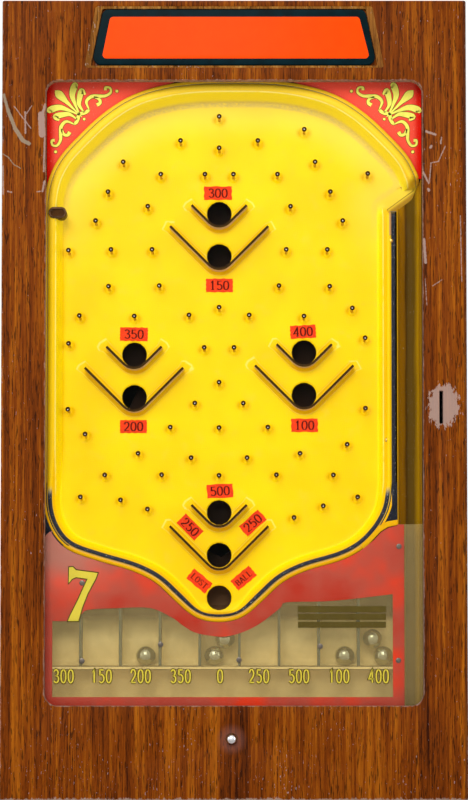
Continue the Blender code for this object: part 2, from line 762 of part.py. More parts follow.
# ---------------------------------------------------------------- lane and collector
def make_lane():
    middle = LANE_HALF + LANE_SHEET / 2
    bow = arc((LANE_X, LANE_AXIS_Y), middle, 0, 180, 12)
    path = [(LANE_X + middle, GAME_FRONT)] + bow + [(LANE_X - middle, GAME_FRONT)]
    lane = as_mesh(extruded(
        "ball_lane", [strip(path, LANE_SHEET)], "XY", LANE_BOTTOM, EXIT_TOP - LANE_BOTTOM, None))
    lane.data.materials.append(BRASS)
    mouth = block(
        "lane_mouth", (LANE_X - 2 * LANE_HALF, GAME_FRONT - BOARD, LANE_BOTTOM - BOARD),
        (LANE_X - LANE_HALF / 2, PAN_FRONT, LANE_MOUTH), None)
    cut(lane, mouth)
    exit_right = math.sqrt(ARCH_RADIUS ** 2 - (EXIT_TOP - ARCH_Z) ** 2)
    slope = (EXIT_TOP - EXIT_BOTTOM) / (exit_right - TRAY_RIGHT)
    drop = FLANGE * math.hypot(1, slope) + 2 * GAP
    reach = exit_right + BOARD
    above = [
        (TRAY_RIGHT, EXIT_BOTTOM - drop), (reach, EXIT_BOTTOM - drop + slope * (reach - TRAY_RIGHT)),
        (reach, EXIT_TOP + BOARD), (TRAY_RIGHT, EXIT_TOP + BOARD),
    ]
    cut(lane, as_mesh(extruded("lane_slant", [above], "XZ", FRONT, DEPTH / 2, None)))


def divider_places():
    first = -(DIVIDERS - 1) / 2
    return [FIELD_X + MM * 0.4 + CHANNEL * (first + step) for step in range(DIVIDERS)]


def lip_height(across):
    """Height of the tray's lip at a distance from the field's middle."""
    lip = smooth_curve(LIP_CURVE, LIP_STEPS)
    for (near, low), (far, high) in zip(lip, lip[1:]):
        if near <= across <= far:
            return low + (high - low) * (across - near) / (far - near)
    return lip[-1][1]


def make_collector():
    pan = block(
        "collector_pan", (PAN_LEFT, PAN_FRONT, CHANNEL_FLOOR + GAP),
        (PAN_RIGHT, PAN_BACK, PAN_TOP), TAN)
    for index, across in enumerate(divider_places()):
        top = lip_height(abs(across - FIELD_X)) - DIVIDER_UNDER_LIP
        divider = block(
            f"divider_{index + 1}", (across - DIVIDER / 2, GAME_FRONT, CHANNEL_FLOOR + GAP),
            (across + DIVIDER / 2, PAN_FRONT + PAN_SHEET / 2, top), None)
        join(pan, divider)


def make_gate():
    """The slide that is the channels' floor, with a tail behind the rocker."""
    tail_half = ROCKER_WIDE / 2
    tail_front = ROCKER_Y + ROCKER_SHEET / 2 + GAP
    tail = 1.5 * MM
    gate = block(
        "release_gate", (PAN_LEFT, GAME_FRONT, GATE_BOTTOM), (PAN_RIGHT, PAN_BACK, GATE_TOP),
        STEEL)
    top = block(
        "gate_tail_top", (BUTTON_X - tail_half, PAN_FRONT, GATE_BOTTOM),
        (BUTTON_X + tail_half, tail_front + tail, GATE_TOP), None)
    hook = block(
        "gate_tail_hook", (BUTTON_X - tail_half, tail_front, GATE_BOTTOM - 10 * MM),
        (BUTTON_X + tail_half, tail_front + tail, GATE_BOTTOM + GATE / 2), None)
    join(gate, top)
    join(gate, hook)


def make_trough():
    """The sloping gutter under the gate, with a back wall."""
    right = LANE_X - LANE_HALF - LANE_SHEET - GAP
    floor = [
        (PAN_LEFT, TROUGH_LEFT_Z - TROUGH_SHEET), (right, TROUGH_RIGHT_Z - TROUGH_SHEET),
        (right, TROUGH_RIGHT_Z), (PAN_LEFT, TROUGH_LEFT_Z),
    ]
    trough = as_mesh(extruded(
        "return_trough", [floor], "XZ", GAME_FRONT, PAN_BACK - GAME_FRONT, None))
    trough.data.materials.append(TAN)
    wall = [
        (PAN_LEFT, TROUGH_LEFT_Z - TROUGH_SHEET), (right, TROUGH_RIGHT_Z - TROUGH_SHEET),
        (right, GATE_BOTTOM - RUN), (PAN_LEFT, GATE_BOTTOM - RUN),
    ]
    join(trough, as_mesh(extruded("trough_wall", [wall], "XZ", PAN_FRONT, PAN_SHEET, None)))


def guide_paths():
    """A rib for each divider: under its hole first, then straight down, in (x, z)."""
    lines = divider_places()
    end = RAMP_TOP
    over = HOLE / 2 + 3 * MM
    slope = 0.42
    top_left = FIELD_X + over
    left = FIELD_X - SIDE_COLUMN
    right = FIELD_X + SIDE_COLUMN
    under = HOLE / 2 + 2.5 * MM
    top_low = TOP_HOLE - HOLE_PITCH

    def falling(start, height, line):
        return [(start, height), (line, height - slope * abs(start - line)), (line, end)]

    clear = min(lines[1], left - HOLE / 2 - GUIDE_RIB)
    second = falling(top_left, top_low - under, clear)[:2]
    second += [(clear, LEFT_HOLE - 2 * HOLE_PITCH), (lines[1], LEFT_HOLE - 2.6 * HOLE_PITCH)]
    second += [(lines[1], end)]
    return [
        falling(top_left, TOP_HOLE - under + slope * 3 * MM, lines[0]),
        second,
        falling(left - HOLE / 2, LEFT_HOLE - under, lines[2]),
        [(lines[3], top_low - HOLE_PITCH), (lines[3], end)],
        falling(FIELD_X - over, BOTTOM_HOLE - HOLE_PITCH - under + slope * 3 * MM, lines[4]),
        falling(FIELD_X - over, BOTTOM_HOLE - under + slope * 3 * MM, lines[5]),
        falling(right - HOLE / 2, RIGHT_HOLE - HOLE_PITCH - under, lines[6]),
        falling(right - HOLE / 2, RIGHT_HOLE - under, lines[7]),
    ]


def make_guide_board():
    """The board behind the tray whose ribs lead each hole's ball to its channel."""
    low = PAN_TOP + RUN
    board = block(
        "ball_guide_board", (GAP - SIDE_IN, GUIDE_FRONT, low),
        (GUIDE_RIGHT, GUIDE_BACK, WINDOW_TOP + GLASS_LAP), TAN)
    rib_start = TRAY_BACK + GAP
    depth = GUIDE_FRONT - rib_start + GUIDE_BOARD / 2
    for index, path in enumerate(guide_paths()):
        rib = as_mesh(extruded(
            f"rib_{index + 1}", [strip(path, GUIDE_RIB)], "XZ", rib_start, depth, None))
        join(board, rib)
    ramp = [
        (rib_start, low), (GUIDE_FRONT + GUIDE_BOARD / 2, low),
        (GUIDE_FRONT + GUIDE_BOARD / 2, RAMP_TOP + 2 * MM), (GUIDE_FRONT, RAMP_TOP + 2 * MM),
        (rib_start, low + 1.5 * MM),
    ]
    length = PAN_RIGHT - PAN_LEFT - 2 * RUN
    join(board, as_mesh(extruded("ramp", [ramp], "YZ", PAN_LEFT + RUN, length, None)))


def make_balls():
    lines = divider_places()
    side = (CHANNEL - DIVIDER) / 2 - BALL / 2
    rise = math.sqrt((BALL + GAP) ** 2 - (0.55 * BALL) ** 2)

    def place(channel, shift, layer=0):
        middle = lines[channel] - CHANNEL / 2 if channel < DIVIDERS else lines[-1] + CHANNEL / 2
        return (middle + shift, BALL_Y, BALL_REST_Z + rise * layer)

    half = 0.275 * BALL
    ball("ball_200", place(2, 0.6 * side), STEEL)
    ball("ball_0_lower", place(4, -half), STEEL)
    ball("ball_0_upper", place(4, half, 1), STEEL)
    ball("ball_100", place(7, 0.7 * side), STEEL)
    ball("ball_400_lower", place(8, half), STEEL)
    ball("ball_400_upper", place(8, -half, 1), STEEL)
    ball("ball_in_lane", (LANE_X, LANE_AXIS_Y, KICKER_TOP + GAP + BALL / 2), STEEL)


# ---------------------------------------------------------------- release button
def make_button():
    tip = FRONT - BUTTON_PROUD
    head = BUTTON_PROUD + 1 * MM
    rod_end = ROCKER_Y - ROCKER_SHEET / 2 - GAP
    button = cylinder(
        "release_button", "Y", (BUTTON_X, tip, BUTTON_Z), 0.8 * BUTTON_RADIUS, head, CHROME, 20,
        BUTTON_RADIUS)
    rod = cylinder(
        "button_rod", "Y", (BUTTON_X, tip + head / 2, BUTTON_Z), ROD_RADIUS,
        rod_end - tip - head / 2, None, 12)
    collar_y = rod_end - 5 * MM
    collar = cylinder(
        "button_collar", "Y", (BUTTON_X, collar_y, BUTTON_Z), 2.2 * ROD_RADIUS, 1.5 * MM, None, 12)
    join(button, rod)
    join(button, collar)
    guide_back = FACE_BACK + GAP + 10 * MM
    guide = block(
        "button_guide", (BUTTON_X - 8 * MM, FACE_BACK + GAP, BUTTON_Z - 8 * MM),
        (BUTTON_X + 8 * MM, guide_back, BUTTON_Z + 6 * MM), BRASS)
    cut(guide, cylinder(
        "guide_bore", "Y", (BUTTON_X, FRONT, BUTTON_Z), ROD_RADIUS + GAP, DEPTH / 2, None, 12))
    spring_start = guide_back + GAP
    coil(
        "button_spring", "Y", (BUTTON_X, spring_start, BUTTON_Z), 2.9 * MM, 0.7 * MM, 6,
        collar_y - GAP - spring_start, STEEL)


def make_rocker():
    half = ROCKER_SHEET / 2
    wide = ROCKER_WIDE / 2
    hub = 3.5 * MM
    pivot = (BUTTON_X, ROCKER_Y, ROCKER_PIVOT_Z)
    rocker = block(
        "gate_rocker", (BUTTON_X - wide, ROCKER_Y - half, ROCKER_PIVOT_Z),
        (BUTTON_X + wide, ROCKER_Y + half, GATE_BOTTOM - 2 * GAP), STEEL, pivot)
    barrel = cylinder(
        "rocker_hub", "X", (BUTTON_X - wide, ROCKER_Y, ROCKER_PIVOT_Z), hub, 2 * wide, None, 16)
    trunnion = cylinder(
        "rocker_trunnion", "X", (BUTTON_X - wide - 4 * MM, ROCKER_Y, ROCKER_PIVOT_Z), 1.5 * MM,
        2 * wide + 8 * MM, None, 12)
    join(rocker, barrel)
    join(rocker, trunnion)
    cheek = 3 * MM
    inner = wide + RUN
    bracket = block(
        "rocker_bracket", (BUTTON_X - inner - cheek, ROCKER_Y - 7 * MM, BOARD + GAP),
        (BUTTON_X + inner + cheek, ROCKER_Y + 7 * MM, ROCKER_PIVOT_Z + 5 * MM), BRASS)
    bay = block(
        "bracket_bay", (BUTTON_X - inner, ROCKER_Y - BOARD, BOARD + GAP + 2 * MM),
        (BUTTON_X + inner, ROCKER_Y + BOARD, ROCKER_PIVOT_Z + BOARD), None)
    bore = cylinder(
        "bracket_bore", "X", (BUTTON_X - 2 * BOARD, ROCKER_Y, ROCKER_PIVOT_Z), 1.5 * MM + GAP,
        4 * BOARD, None, 12)
    cut(bracket, bay)
    cut(bracket, bore)


# ---------------------------------------------------------------- flick lever
def make_lever():
    outside = WIDTH / 2 + LEVER_CLEAR
    end_y = SHAFT_Y - LEVER_LENGTH * math.cos(LEVER_RISE)
    end_z = SHAFT_Z + LEVER_LENGTH * math.sin(LEVER_RISE)
    hub = SHAFT_RADIUS + 4 * MM
    tilt = 90 - math.degrees(LEVER_RISE)
    outline = arc((SHAFT_Y, SHAFT_Z), hub, -tilt, 180 - tilt, 8)
    outline += arc((end_y, end_z), 0.7 * hub, 180 - tilt, 360 - tilt, 8)
    lever = as_mesh(extruded(
        "flick_lever", [outline], "YZ", outside, LEVER_SHEET, None, (SHAFT_Y, SHAFT_Z)))
    lever.data.materials.append(STEEL)
    cut(lever, cylinder(
        "lever_bore", "X", (outside - BOARD, SHAFT_Y, SHAFT_Z), SHAFT_RADIUS + GAP, 3 * BOARD,
        None, 16))
    axis = bpy.data.objects.new("lever_axis", None)
    PARTS.objects.link(axis)
    axis.location = (outside, SHAFT_Y, SHAFT_Z)
    knob = cylinder(
        "lever_knob", "X", (outside + LEVER_SHEET + GAP, end_y, end_z), 0.75 * KNOB_RADIUS,
        KNOB_LENGTH, BLACK, 20, KNOB_RADIUS)
    knob.location -= axis.location
    knob.parent = axis
    shaft_start = LANE_X - 6 * MM
    shaft_end = outside + LEVER_SHEET + 1 * MM
    cylinder(
        "lever_shaft", "X", (shaft_start, SHAFT_Y, SHAFT_Z), SHAFT_RADIUS,
        shaft_end - shaft_start, STEEL, 16)
    bushing_start = SIDE_IN - 2 * MM
    bushing = cylinder(
        "lever_bushing", "X", (bushing_start, SHAFT_Y, SHAFT_Z), SHAFT_RADIUS + 2.5 * MM,
        BOARD + 3 * MM, BRASS, 20)
    cut(bushing, cylinder(
        "bushing_hole", "X", (bushing_start - BOARD, SHAFT_Y, SHAFT_Z), SHAFT_RADIUS + GAP,
        4 * BOARD, None, 16))
    make_kicker()


def make_kicker():
    """The arm on the shaft whose pad strikes the ball at the lane's foot."""
    half = KICKER_ARM / 2
    hub = SHAFT_RADIUS + 3 * MM
    pad_half = LANE_HALF - RUN
    pad_front = LANE_AXIS_Y - 6 * MM
    pad_back = LANE_AXIS_Y + 6 * MM
    pad = 3 * MM
    hub_half = 3 * half
    kicker = cylinder(
        "kicker", "X", (LANE_X - hub_half, SHAFT_Y, SHAFT_Z), hub, 2 * hub_half, STEEL, 20)
    arm = [
        (SHAFT_Y, SHAFT_Z - 3.5 * MM), (SHAFT_Y, SHAFT_Z + 4.5 * MM),
        (pad_back, KICKER_TOP - pad / 2), (pad_front, KICKER_TOP - pad / 2),
        (pad_back, KICKER_TOP - 3 * pad),
    ]
    join(kicker, as_mesh(extruded("kicker_arm", [arm], "YZ", LANE_X - half, 2 * half, None)))
    join(kicker, block(
        "kicker_pad", (LANE_X - pad_half, pad_front, KICKER_TOP - pad),
        (LANE_X + pad_half, pad_back, KICKER_TOP), None))
    cut(kicker, cylinder(
        "kicker_bore", "X", (LANE_X - 4 * hub_half, SHAFT_Y, SHAFT_Z), SHAFT_RADIUS + GAP,
        8 * hub_half, None, 16))
    spring_top = SHAFT_Z - 3.5 * MM
    coil(
        "lever_spring", "Z", (LANE_X, (SHAFT_Y + pad_back) / 2, BOARD + GAP), 4 * MM, 0.9 * MM, 5,
        spring_top - BOARD - 2 * GAP, STEEL)


# ---------------------------------------------------------------- coin way
def make_coin_way():
    bend = CHUTE_WIDE * 0.6
    path = [
        (FACE_BACK + GAP, COIN_SLOT_Z), (CHUTE_DROP_Y - bend, COIN_SLOT_Z),
        (CHUTE_DROP_Y, COIN_SLOT_Z - bend), (CHUTE_DROP_Y, CHUTE_STEP_Z),
        (CHUTE_OUT_Y, CHUTE_STEP_Z - (CHUTE_OUT_Y - CHUTE_DROP_Y)), (CHUTE_OUT_Y, CHUTE_BOTTOM),
    ]
    longer = [(path[0][0] - BOARD, path[0][1])] + path[1:-1]
    longer += [(path[-1][0], path[-1][1] - BOARD)]
    outer = 2 * CHUTE_HALF
    chute = as_mesh(extruded(
        "coin_chute", [strip(path, CHUTE_WIDE + 2 * CHUTE_SHEET)], "YZ", COIN_X - outer / 2,
        outer, None))
    chute.data.materials.append(TIN)
    cut(chute, as_mesh(extruded(
        "chute_hollow", [strip(longer, CHUTE_WIDE)], "YZ", COIN_X - CHUTE_SPACE / 2, CHUTE_SPACE,
        None)))
    pin = 1.5 * MM
    cut(chute, cylinder(
        "trip_bore", "X", (COIN_X - BOARD, CHUTE_DROP_Y, TRIP_Z), pin + GAP, 2 * BOARD, None, 12))
    make_coin_trip(pin, outer)
    make_coin_box()


def make_coin_trip(pin, outer):
    """A see-saw finger in the chute, with a heavier tail outside it."""
    inside = COIN_X - outer / 2 - RUN
    tail = 1.6 * MM
    start = inside - tail
    trip = cylinder(
        "coin_trip", "X", (start, CHUTE_DROP_Y, TRIP_Z), pin, COIN_X + outer / 2 - start, STEEL, 12)
    finger = 0.5 * MM
    join(trip, block(
        "trip_finger", (COIN_X - finger, CHUTE_DROP_Y - 10 * MM, TRIP_Z - 1 * MM),
        (COIN_X + finger, CHUTE_DROP_Y, TRIP_Z + 1 * MM), None))
    join(trip, block(
        "trip_tail", (start, CHUTE_DROP_Y - 1 * MM, TRIP_Z - 3 * MM),
        (inside, CHUTE_DROP_Y + 26 * MM, TRIP_Z + 3 * MM), None))


def make_coin_box():
    """An open tin box that stands under the chute."""
    right = SIDE_IN - RUN
    left = right - COIN_BOX_WIDE
    back = BACK - BOARD - COIN_BOX_SLIDE
    low = BOARD + GAP
    tin = block(
        "coin_box", (left, COIN_BOX_FRONT, low), (right, back, low + COIN_BOX_HIGH), TIN)
    wall = COIN_BOX_WALL
    cut(tin, block(
        "box_hollow", (left + wall, COIN_BOX_FRONT + wall, low + wall),
        (right - wall, back - wall, low + 2 * COIN_BOX_HIGH), None))


# ---------------------------------------------------------------- service door
def make_door():
    side = SIDE_IN - 2 * MM
    low = BOARD + GAP + RAIL + RUN
    high = HEIGHT - BOARD - GAP - RAIL - RUN
    front = BACK - DOOR_BOARD
    hinge_axis = (-SIDE_IN + 1 * MM, BACK + GAP + KNUCKLE_RADIUS)
    door = block(
        "back_door", (-side, front, low), (side, BACK, high), DOOR_WOOD,
        (hinge_axis[0], hinge_axis[1], (low + high) / 2))
    middle = (low + high) / 2
    cut(door, cylinder(
        "lock_bore", "Y", (LOCK_X, front - BOARD, middle), LOCK_RADIUS + GAP, 4 * BOARD, None, 20))
    for place, up in (("upper", high - HINGE_TALL), ("lower", low + HINGE_TALL)):
        make_hinge(place, hinge_axis, up)
    make_lock(front, middle)


def make_hinge(place, axis, middle):
    """A butt hinge with three knuckles: the middle one is on the door's leaf."""
    leaf_y = BACK + GAP
    bottom = middle - HINGE_TALL / 2
    third = HINGE_TALL / 3
    frame = block(
        f"{place}_hinge_frame_leaf", (axis[0] - HINGE_WIDE, leaf_y, bottom),
        (axis[0], leaf_y + HINGE_LEAF, bottom + HINGE_TALL), BRASS)
    door = block(
        f"{place}_hinge_door_leaf", (axis[0], leaf_y, bottom),
        (axis[0] + HINGE_WIDE, leaf_y + HINGE_LEAF, bottom + HINGE_TALL), BRASS,
        (axis[0], axis[1], middle))
    clear = KNUCKLE_RADIUS + GAP
    for name, leaf, own in (("frame", frame, (0, 2)), ("door", door, (1,))):
        for step in range(3):
            start = bottom + third * step
            tag = f"{place}_{name}_knuckle_{step + 1}"
            if step in own:
                join(leaf, cylinder(
                    tag, "Z", (*axis, start + GAP / 2), KNUCKLE_RADIUS, third - GAP, None, 14))
            else:
                cut(leaf, block(
                    tag, (axis[0] - clear, leaf_y - clear, start - GAP / 2),
                    (axis[0] + clear, leaf_y + 3 * clear, start + third + GAP / 2), None))
        cut(leaf, cylinder(
            f"{place}_{name}_bore", "Z", (*axis, bottom - BOARD), HINGE_PIN_RADIUS + GAP,
            HINGE_TALL + 2 * BOARD, None, 12))
    cylinder(
        f"{place}_hinge_pin", "Z", (*axis, bottom), HINGE_PIN_RADIUS, HINGE_TALL, STEEL, 12)


def make_lock(door_front, middle):
    """A cam lock in the door; the cam points up at rest, clear of the strike."""
    cam = 2.5 * MM
    inner_end = door_front - 4 * MM
    barrel_end = BACK + 1.5 * MM
    cylinder(
        "lock_barrel", "Y", (LOCK_X, inner_end, middle), LOCK_RADIUS, barrel_end - inner_end,
        CHROME, 20)
    cam_back = inner_end - GAP
    cam_end = 5 * MM
    reach = SIDE_IN - CAM_CLEAR - LOCK_X - cam_end
    outline = arc((LOCK_X, middle), 7 * MM, 180, 360, 8)
    outline += arc((LOCK_X, middle + reach), cam_end, 0, 180, 6)
    extruded(
        "lock_cam", [outline], "XZ", cam_back - cam, cam, STEEL, (LOCK_X, middle))
    block(
        "lock_strike", (LOCK_X + 13 * MM, cam_back + RUN, middle - 12 * MM),
        (SIDE_IN - GAP, cam_back + 3.5 * MM, middle + 12 * MM), STEEL)


make_boards()
make_front_panel()
make_window()
make_corner_cards()
make_tray()
make_fences()
make_rebound_loop()
make_lane()
make_collector()
make_gate()
make_trough()
make_guide_board()
make_balls()
make_button()
make_rocker()
make_lever()
make_coin_way()
make_door()
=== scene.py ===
"""Looks for a countertop coin ball game: wooden cabinet, yellow pressed playfield, nine channels.

Sizes are in millimetres in the row frame: x to the right, y to the back, z up.
"""
import math

import bmesh
import bpy
from mathutils import Matrix, Vector, geometry, kdtree


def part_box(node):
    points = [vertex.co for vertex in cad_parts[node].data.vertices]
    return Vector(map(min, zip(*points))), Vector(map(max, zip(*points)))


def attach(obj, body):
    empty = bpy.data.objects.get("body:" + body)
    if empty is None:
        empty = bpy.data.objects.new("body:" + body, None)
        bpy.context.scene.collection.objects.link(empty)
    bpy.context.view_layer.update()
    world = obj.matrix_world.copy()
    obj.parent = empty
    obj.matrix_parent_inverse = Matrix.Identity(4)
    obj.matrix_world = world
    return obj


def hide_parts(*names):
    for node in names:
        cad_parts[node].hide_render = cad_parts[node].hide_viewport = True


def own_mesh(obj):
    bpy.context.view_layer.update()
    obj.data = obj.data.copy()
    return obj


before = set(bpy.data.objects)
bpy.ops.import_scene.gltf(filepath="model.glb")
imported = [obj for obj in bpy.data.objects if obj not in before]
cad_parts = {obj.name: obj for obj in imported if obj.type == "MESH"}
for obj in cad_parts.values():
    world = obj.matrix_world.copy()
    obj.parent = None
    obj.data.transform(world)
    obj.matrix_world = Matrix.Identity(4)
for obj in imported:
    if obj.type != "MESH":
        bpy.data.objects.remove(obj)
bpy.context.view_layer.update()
MM = 0.001


def box_mm(node):
    low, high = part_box(node)
    return low / MM, high / MM


# ---------------------------------------------------------------- reference planes
FACE_LOW, FACE_HIGH = box_mm("front_panel")
FRONT = FACE_LOW.y
FACE_BACK = FACE_HIGH.y
TRAY_LOW, TRAY_HIGH = box_mm("playfield_tray")
CREST_Y = TRAY_LOW.y
TRAY_SHEET = 1.0
FLOOR_Y = TRAY_HIGH.y - TRAY_SHEET
CREST_RISE = FLOOR_Y - CREST_Y
SHEET_LOW, SHEET_HIGH = box_mm("score_sheet")
SHEET_FRONT = SHEET_LOW.y
SHEET_BACK = SHEET_HIGH.y
LANE_LOW, LANE_HIGH = box_mm("ball_lane")
LANE_X = (LANE_LOW.x + LANE_HIGH.x) / 2
PAN_LOW, PAN_HIGH = box_mm("collector_pan")

WINDOW_HALF = 120.5
WINDOW_BOTTOM = 59.5
WINDOW_TOP = 459.5
WINDOW_CORNER = 8.0
FIELD_X = -9.7
ARCH_Z = 340.0
ARCH_RADIUS = 127.0
ARCH_HALF = 118.0
RIGHT_EDGE = 99.4
EXIT_TOP = 393.0
EXIT_BOTTOM = 380.6
HOLE_RADIUS = 8.0
HOLE_PITCH = 27.6
FENCE_BOW = 9.4
# half of the arch's crest, from its side up to its top
SHOULDER = ((118.0, 383), (115.6, 396), (109.2, 409.4), (97, 423.1), (81.6, 437.5), (64.5, 448.4),
            (45.2, 454.6), (24, 457.6))
ARCH_TOP = 458.1
LIP = ((13, 119.5), (25, 129.5), (38, 141.5), (54, 149.5), (76, 156), (95, 163))
LIP_BOTTOM = 117.0
HOLE_COLUMNS = (("top", 0, 377.8, 2), ("left", -54.9, 286, 2), ("right", 54.9, 287.5, 2),
                ("bottom", 0, 183.7, 3))
SMALL_FENCE = 17.8
LARGE_FENCE = 31.7
MIDDLE_PINS = (439, 418.5, 315, 266.5, 237.2, 206.4)
PAIRED_PINS = (
    (25, 423.3), (62, 409.4), (9.2, 401.4), (37.7, 401.4), (71.8, 390), (46.1, 380.5),
    (79.8, 371.2), (43.3, 352.5), (69.8, 352.5), (38.6, 329), (71.3, 328.6),
    (19.4, 310), (54.7, 309.3), (9.6, 289), (15.6, 253), (31.4, 237.5),
    (52.1, 220.6), (18, 217.8), (36.9, 206.8), (73.5, 206.7), (89.1, 192.5))
LEFT_PINS = ((97.2, 352), (90.1, 309.6), (97, 291.6), (97.3, 249), (86.2, 233),
             (63.3, 190.6), (46, 184.7))
RIGHT_PINS = ((55, 430.6), (96, 401.8), (85.9, 314.5), (94.1, 295.2), (94.2, 249.7),
              (82.4, 226.4), (67, 186.8), (48.2, 179.3))
PIN_LEAN = math.tan(math.radians(4))
PIN_HIGH = 11.0
CHANNEL_PITCH = 25.4
DIVIDERS = [FIELD_X + 0.4 + CHANNEL_PITCH * (step - 3.5) for step in range(8)]
COIN_SLOT = (132.05, 249.5)


def pin_places():
    places = [(FIELD_X, up) for up in MIDDLE_PINS]
    places += [(FIELD_X - across, up) for across, up in PAIRED_PINS + LEFT_PINS]
    places += [(FIELD_X + across, up) for across, up in PAIRED_PINS + RIGHT_PINS]
    return places


def hole_places():
    return [(FIELD_X + across, top - HOLE_PITCH * step)
            for _, across, top, count in HOLE_COLUMNS for step in range(count)]


# ---------------------------------------------------------------- plane geometry
def arc(centre, radius, first, last, steps):
    """Points on a circle from the first angle to the last, in degrees."""
    angles = [math.radians(first + (last - first) * step / steps) for step in range(steps + 1)]
    return [(centre[0] + radius * math.cos(angle), centre[1] + radius * math.sin(angle))
            for angle in angles]


def circle(centre, radius, sides):
    return arc(centre, radius, 0, 360 - 360 / sides, sides - 1)


def rounded(points, radii, steps=6):
    """A polygon with its corners rounded to the radius given for each."""
    made = []
    count = len(points)
    for index, (corner, radius) in enumerate(zip(points, radii)):
        here = Vector(corner)
        before = (Vector(points[index - 1]) - here).normalized()
        after = (Vector(points[(index + 1) % count]) - here).normalized()
        if radius <= 0:
            made.append(tuple(here))
            continue
        half = before.angle(after) / 2
        reach = radius / math.tan(half)
        start, end = here + before * reach, here + after * reach
        centre = here + (before + after).normalized() * radius / math.sin(half)
        first, last = start - centre, end - centre
        for step in range(steps + 1):
            made.append(tuple(centre + first.lerp(last, step / steps).normalized() * radius))
    return made


def box_outline(left, right, bottom, top, radius=0.0, steps=6):
    corners = [(left, bottom), (right, bottom), (right, top), (left, top)]
    return rounded(corners, [radius] * 4, steps)


def smooth_curve(points, steps):
    """A Catmull-Rom curve through the points."""
    ends = [points[0]] + list(points) + [points[-1]]
    curve = []
    for index in range(1, len(ends) - 2):
        a, b, c, d = (Vector(point) for point in ends[index - 1:index + 3])
        for step in range(steps):
            t = step / steps
            curve.append(tuple(0.5 * (
                2 * b + (c - a) * t + (2 * a - 5 * b + 4 * c - d) * t ** 2
                + (3 * b - a - 3 * c + d) * t ** 3)))
    curve.append(tuple(points[-1]))
    return curve


def resampled(points, spacing, closed=False):
    """The same line with points at an even spacing."""
    line = [Vector(point) for point in points]
    if closed:
        line.append(line[0])
    lengths = [(b - a).length for a, b in zip(line, line[1:])]
    total = sum(lengths)
    count = max(2, round(total / spacing))
    made = []
    index, passed = 0, 0.0
    for step in range(count + (0 if closed else 1)):
        target = min(total * step / count, total - 1e-9)
        while passed + lengths[index] < target and index < len(lengths) - 1:
            passed += lengths[index]
            index += 1
        share = (target - passed) / max(lengths[index], 1e-9)
        made.append(tuple(line[index].lerp(line[index + 1], share)))
    return made


def normals_right(path, closed):
    """Normals to the right of travel, stretched at corners."""
    made = []
    count = len(path)
    for index in range(count):
        here = Vector(path[index])
        sides = []
        if closed or index:
            sides.append((here - Vector(path[index - 1])).normalized())
        if closed or index < count - 1:
            sides.append((Vector(path[(index + 1) % count]) - here).normalized())
        mean = sum(sides, Vector((0, 0))).normalized()
        normal = Vector((mean.y, -mean.x))
        made.append(normal / max(normal.dot(Vector((sides[0].y, -sides[0].x))), 0.5))
    return made


def shifted(path, distance, closed=False):
    return [tuple(Vector(p) + n * distance) for p, n in zip(path, normals_right(path, closed))]


def smoothstep(value, low, high):
    share = min(max((value - low) / (high - low), 0.0), 1.0)
    return share * share * (3 - 2 * share)


# ---------------------------------------------------------------- finishes
def linear(colour):
    """A colour as written, 0 to 255, in the renderer's linear values."""
    shares = [value / 255 for value in colour]
    return (*(s / 12.92 if s <= 0.04045 else ((s + 0.055) / 1.055) ** 2.4 for s in shares), 1.0)


def darker(colour, share):
    return tuple(share * value for value in colour)


class Signal:
    """A value in a finish's node tree, which is worked with as if it were a number."""

    def __init__(self, finish, socket):
        self.finish = finish
        self.socket = socket

    def math(self, operation, other=0.0):
        return self.finish.math(operation, self, other)

    def __add__(self, other):
        return self.math("ADD", other)

    def __sub__(self, other):
        return self.math("SUBTRACT", other)

    def __rsub__(self, other):
        return self.finish.math("SUBTRACT", other, self)

    def __mul__(self, other):
        return self.math("MULTIPLY", other)

    def __truediv__(self, other):
        return self.math("DIVIDE", other)

    def __abs__(self):
        return self.math("ABSOLUTE")

    def most(self, other):
        return self.math("MAXIMUM", other)

    def hypot(self, other):
        return (self * self + other * other).math("SQRT")

    def step(self, low, high):
        """0 below low and 1 above high, or the other way round if low is the higher."""
        return self.finish.add(
            "ShaderNodeMapRange",
            {"Value": self, "From Min": min(low, high), "From Max": max(low, high),
             "To Min": float(low > high), "To Max": float(low <= high)},
            "Result", interpolation_type="SMOOTHSTEP")

    def band(self, middle, half, soft):
        """1 within half of the middle, fading over soft."""
        return abs(self - middle).step(half + soft, half)


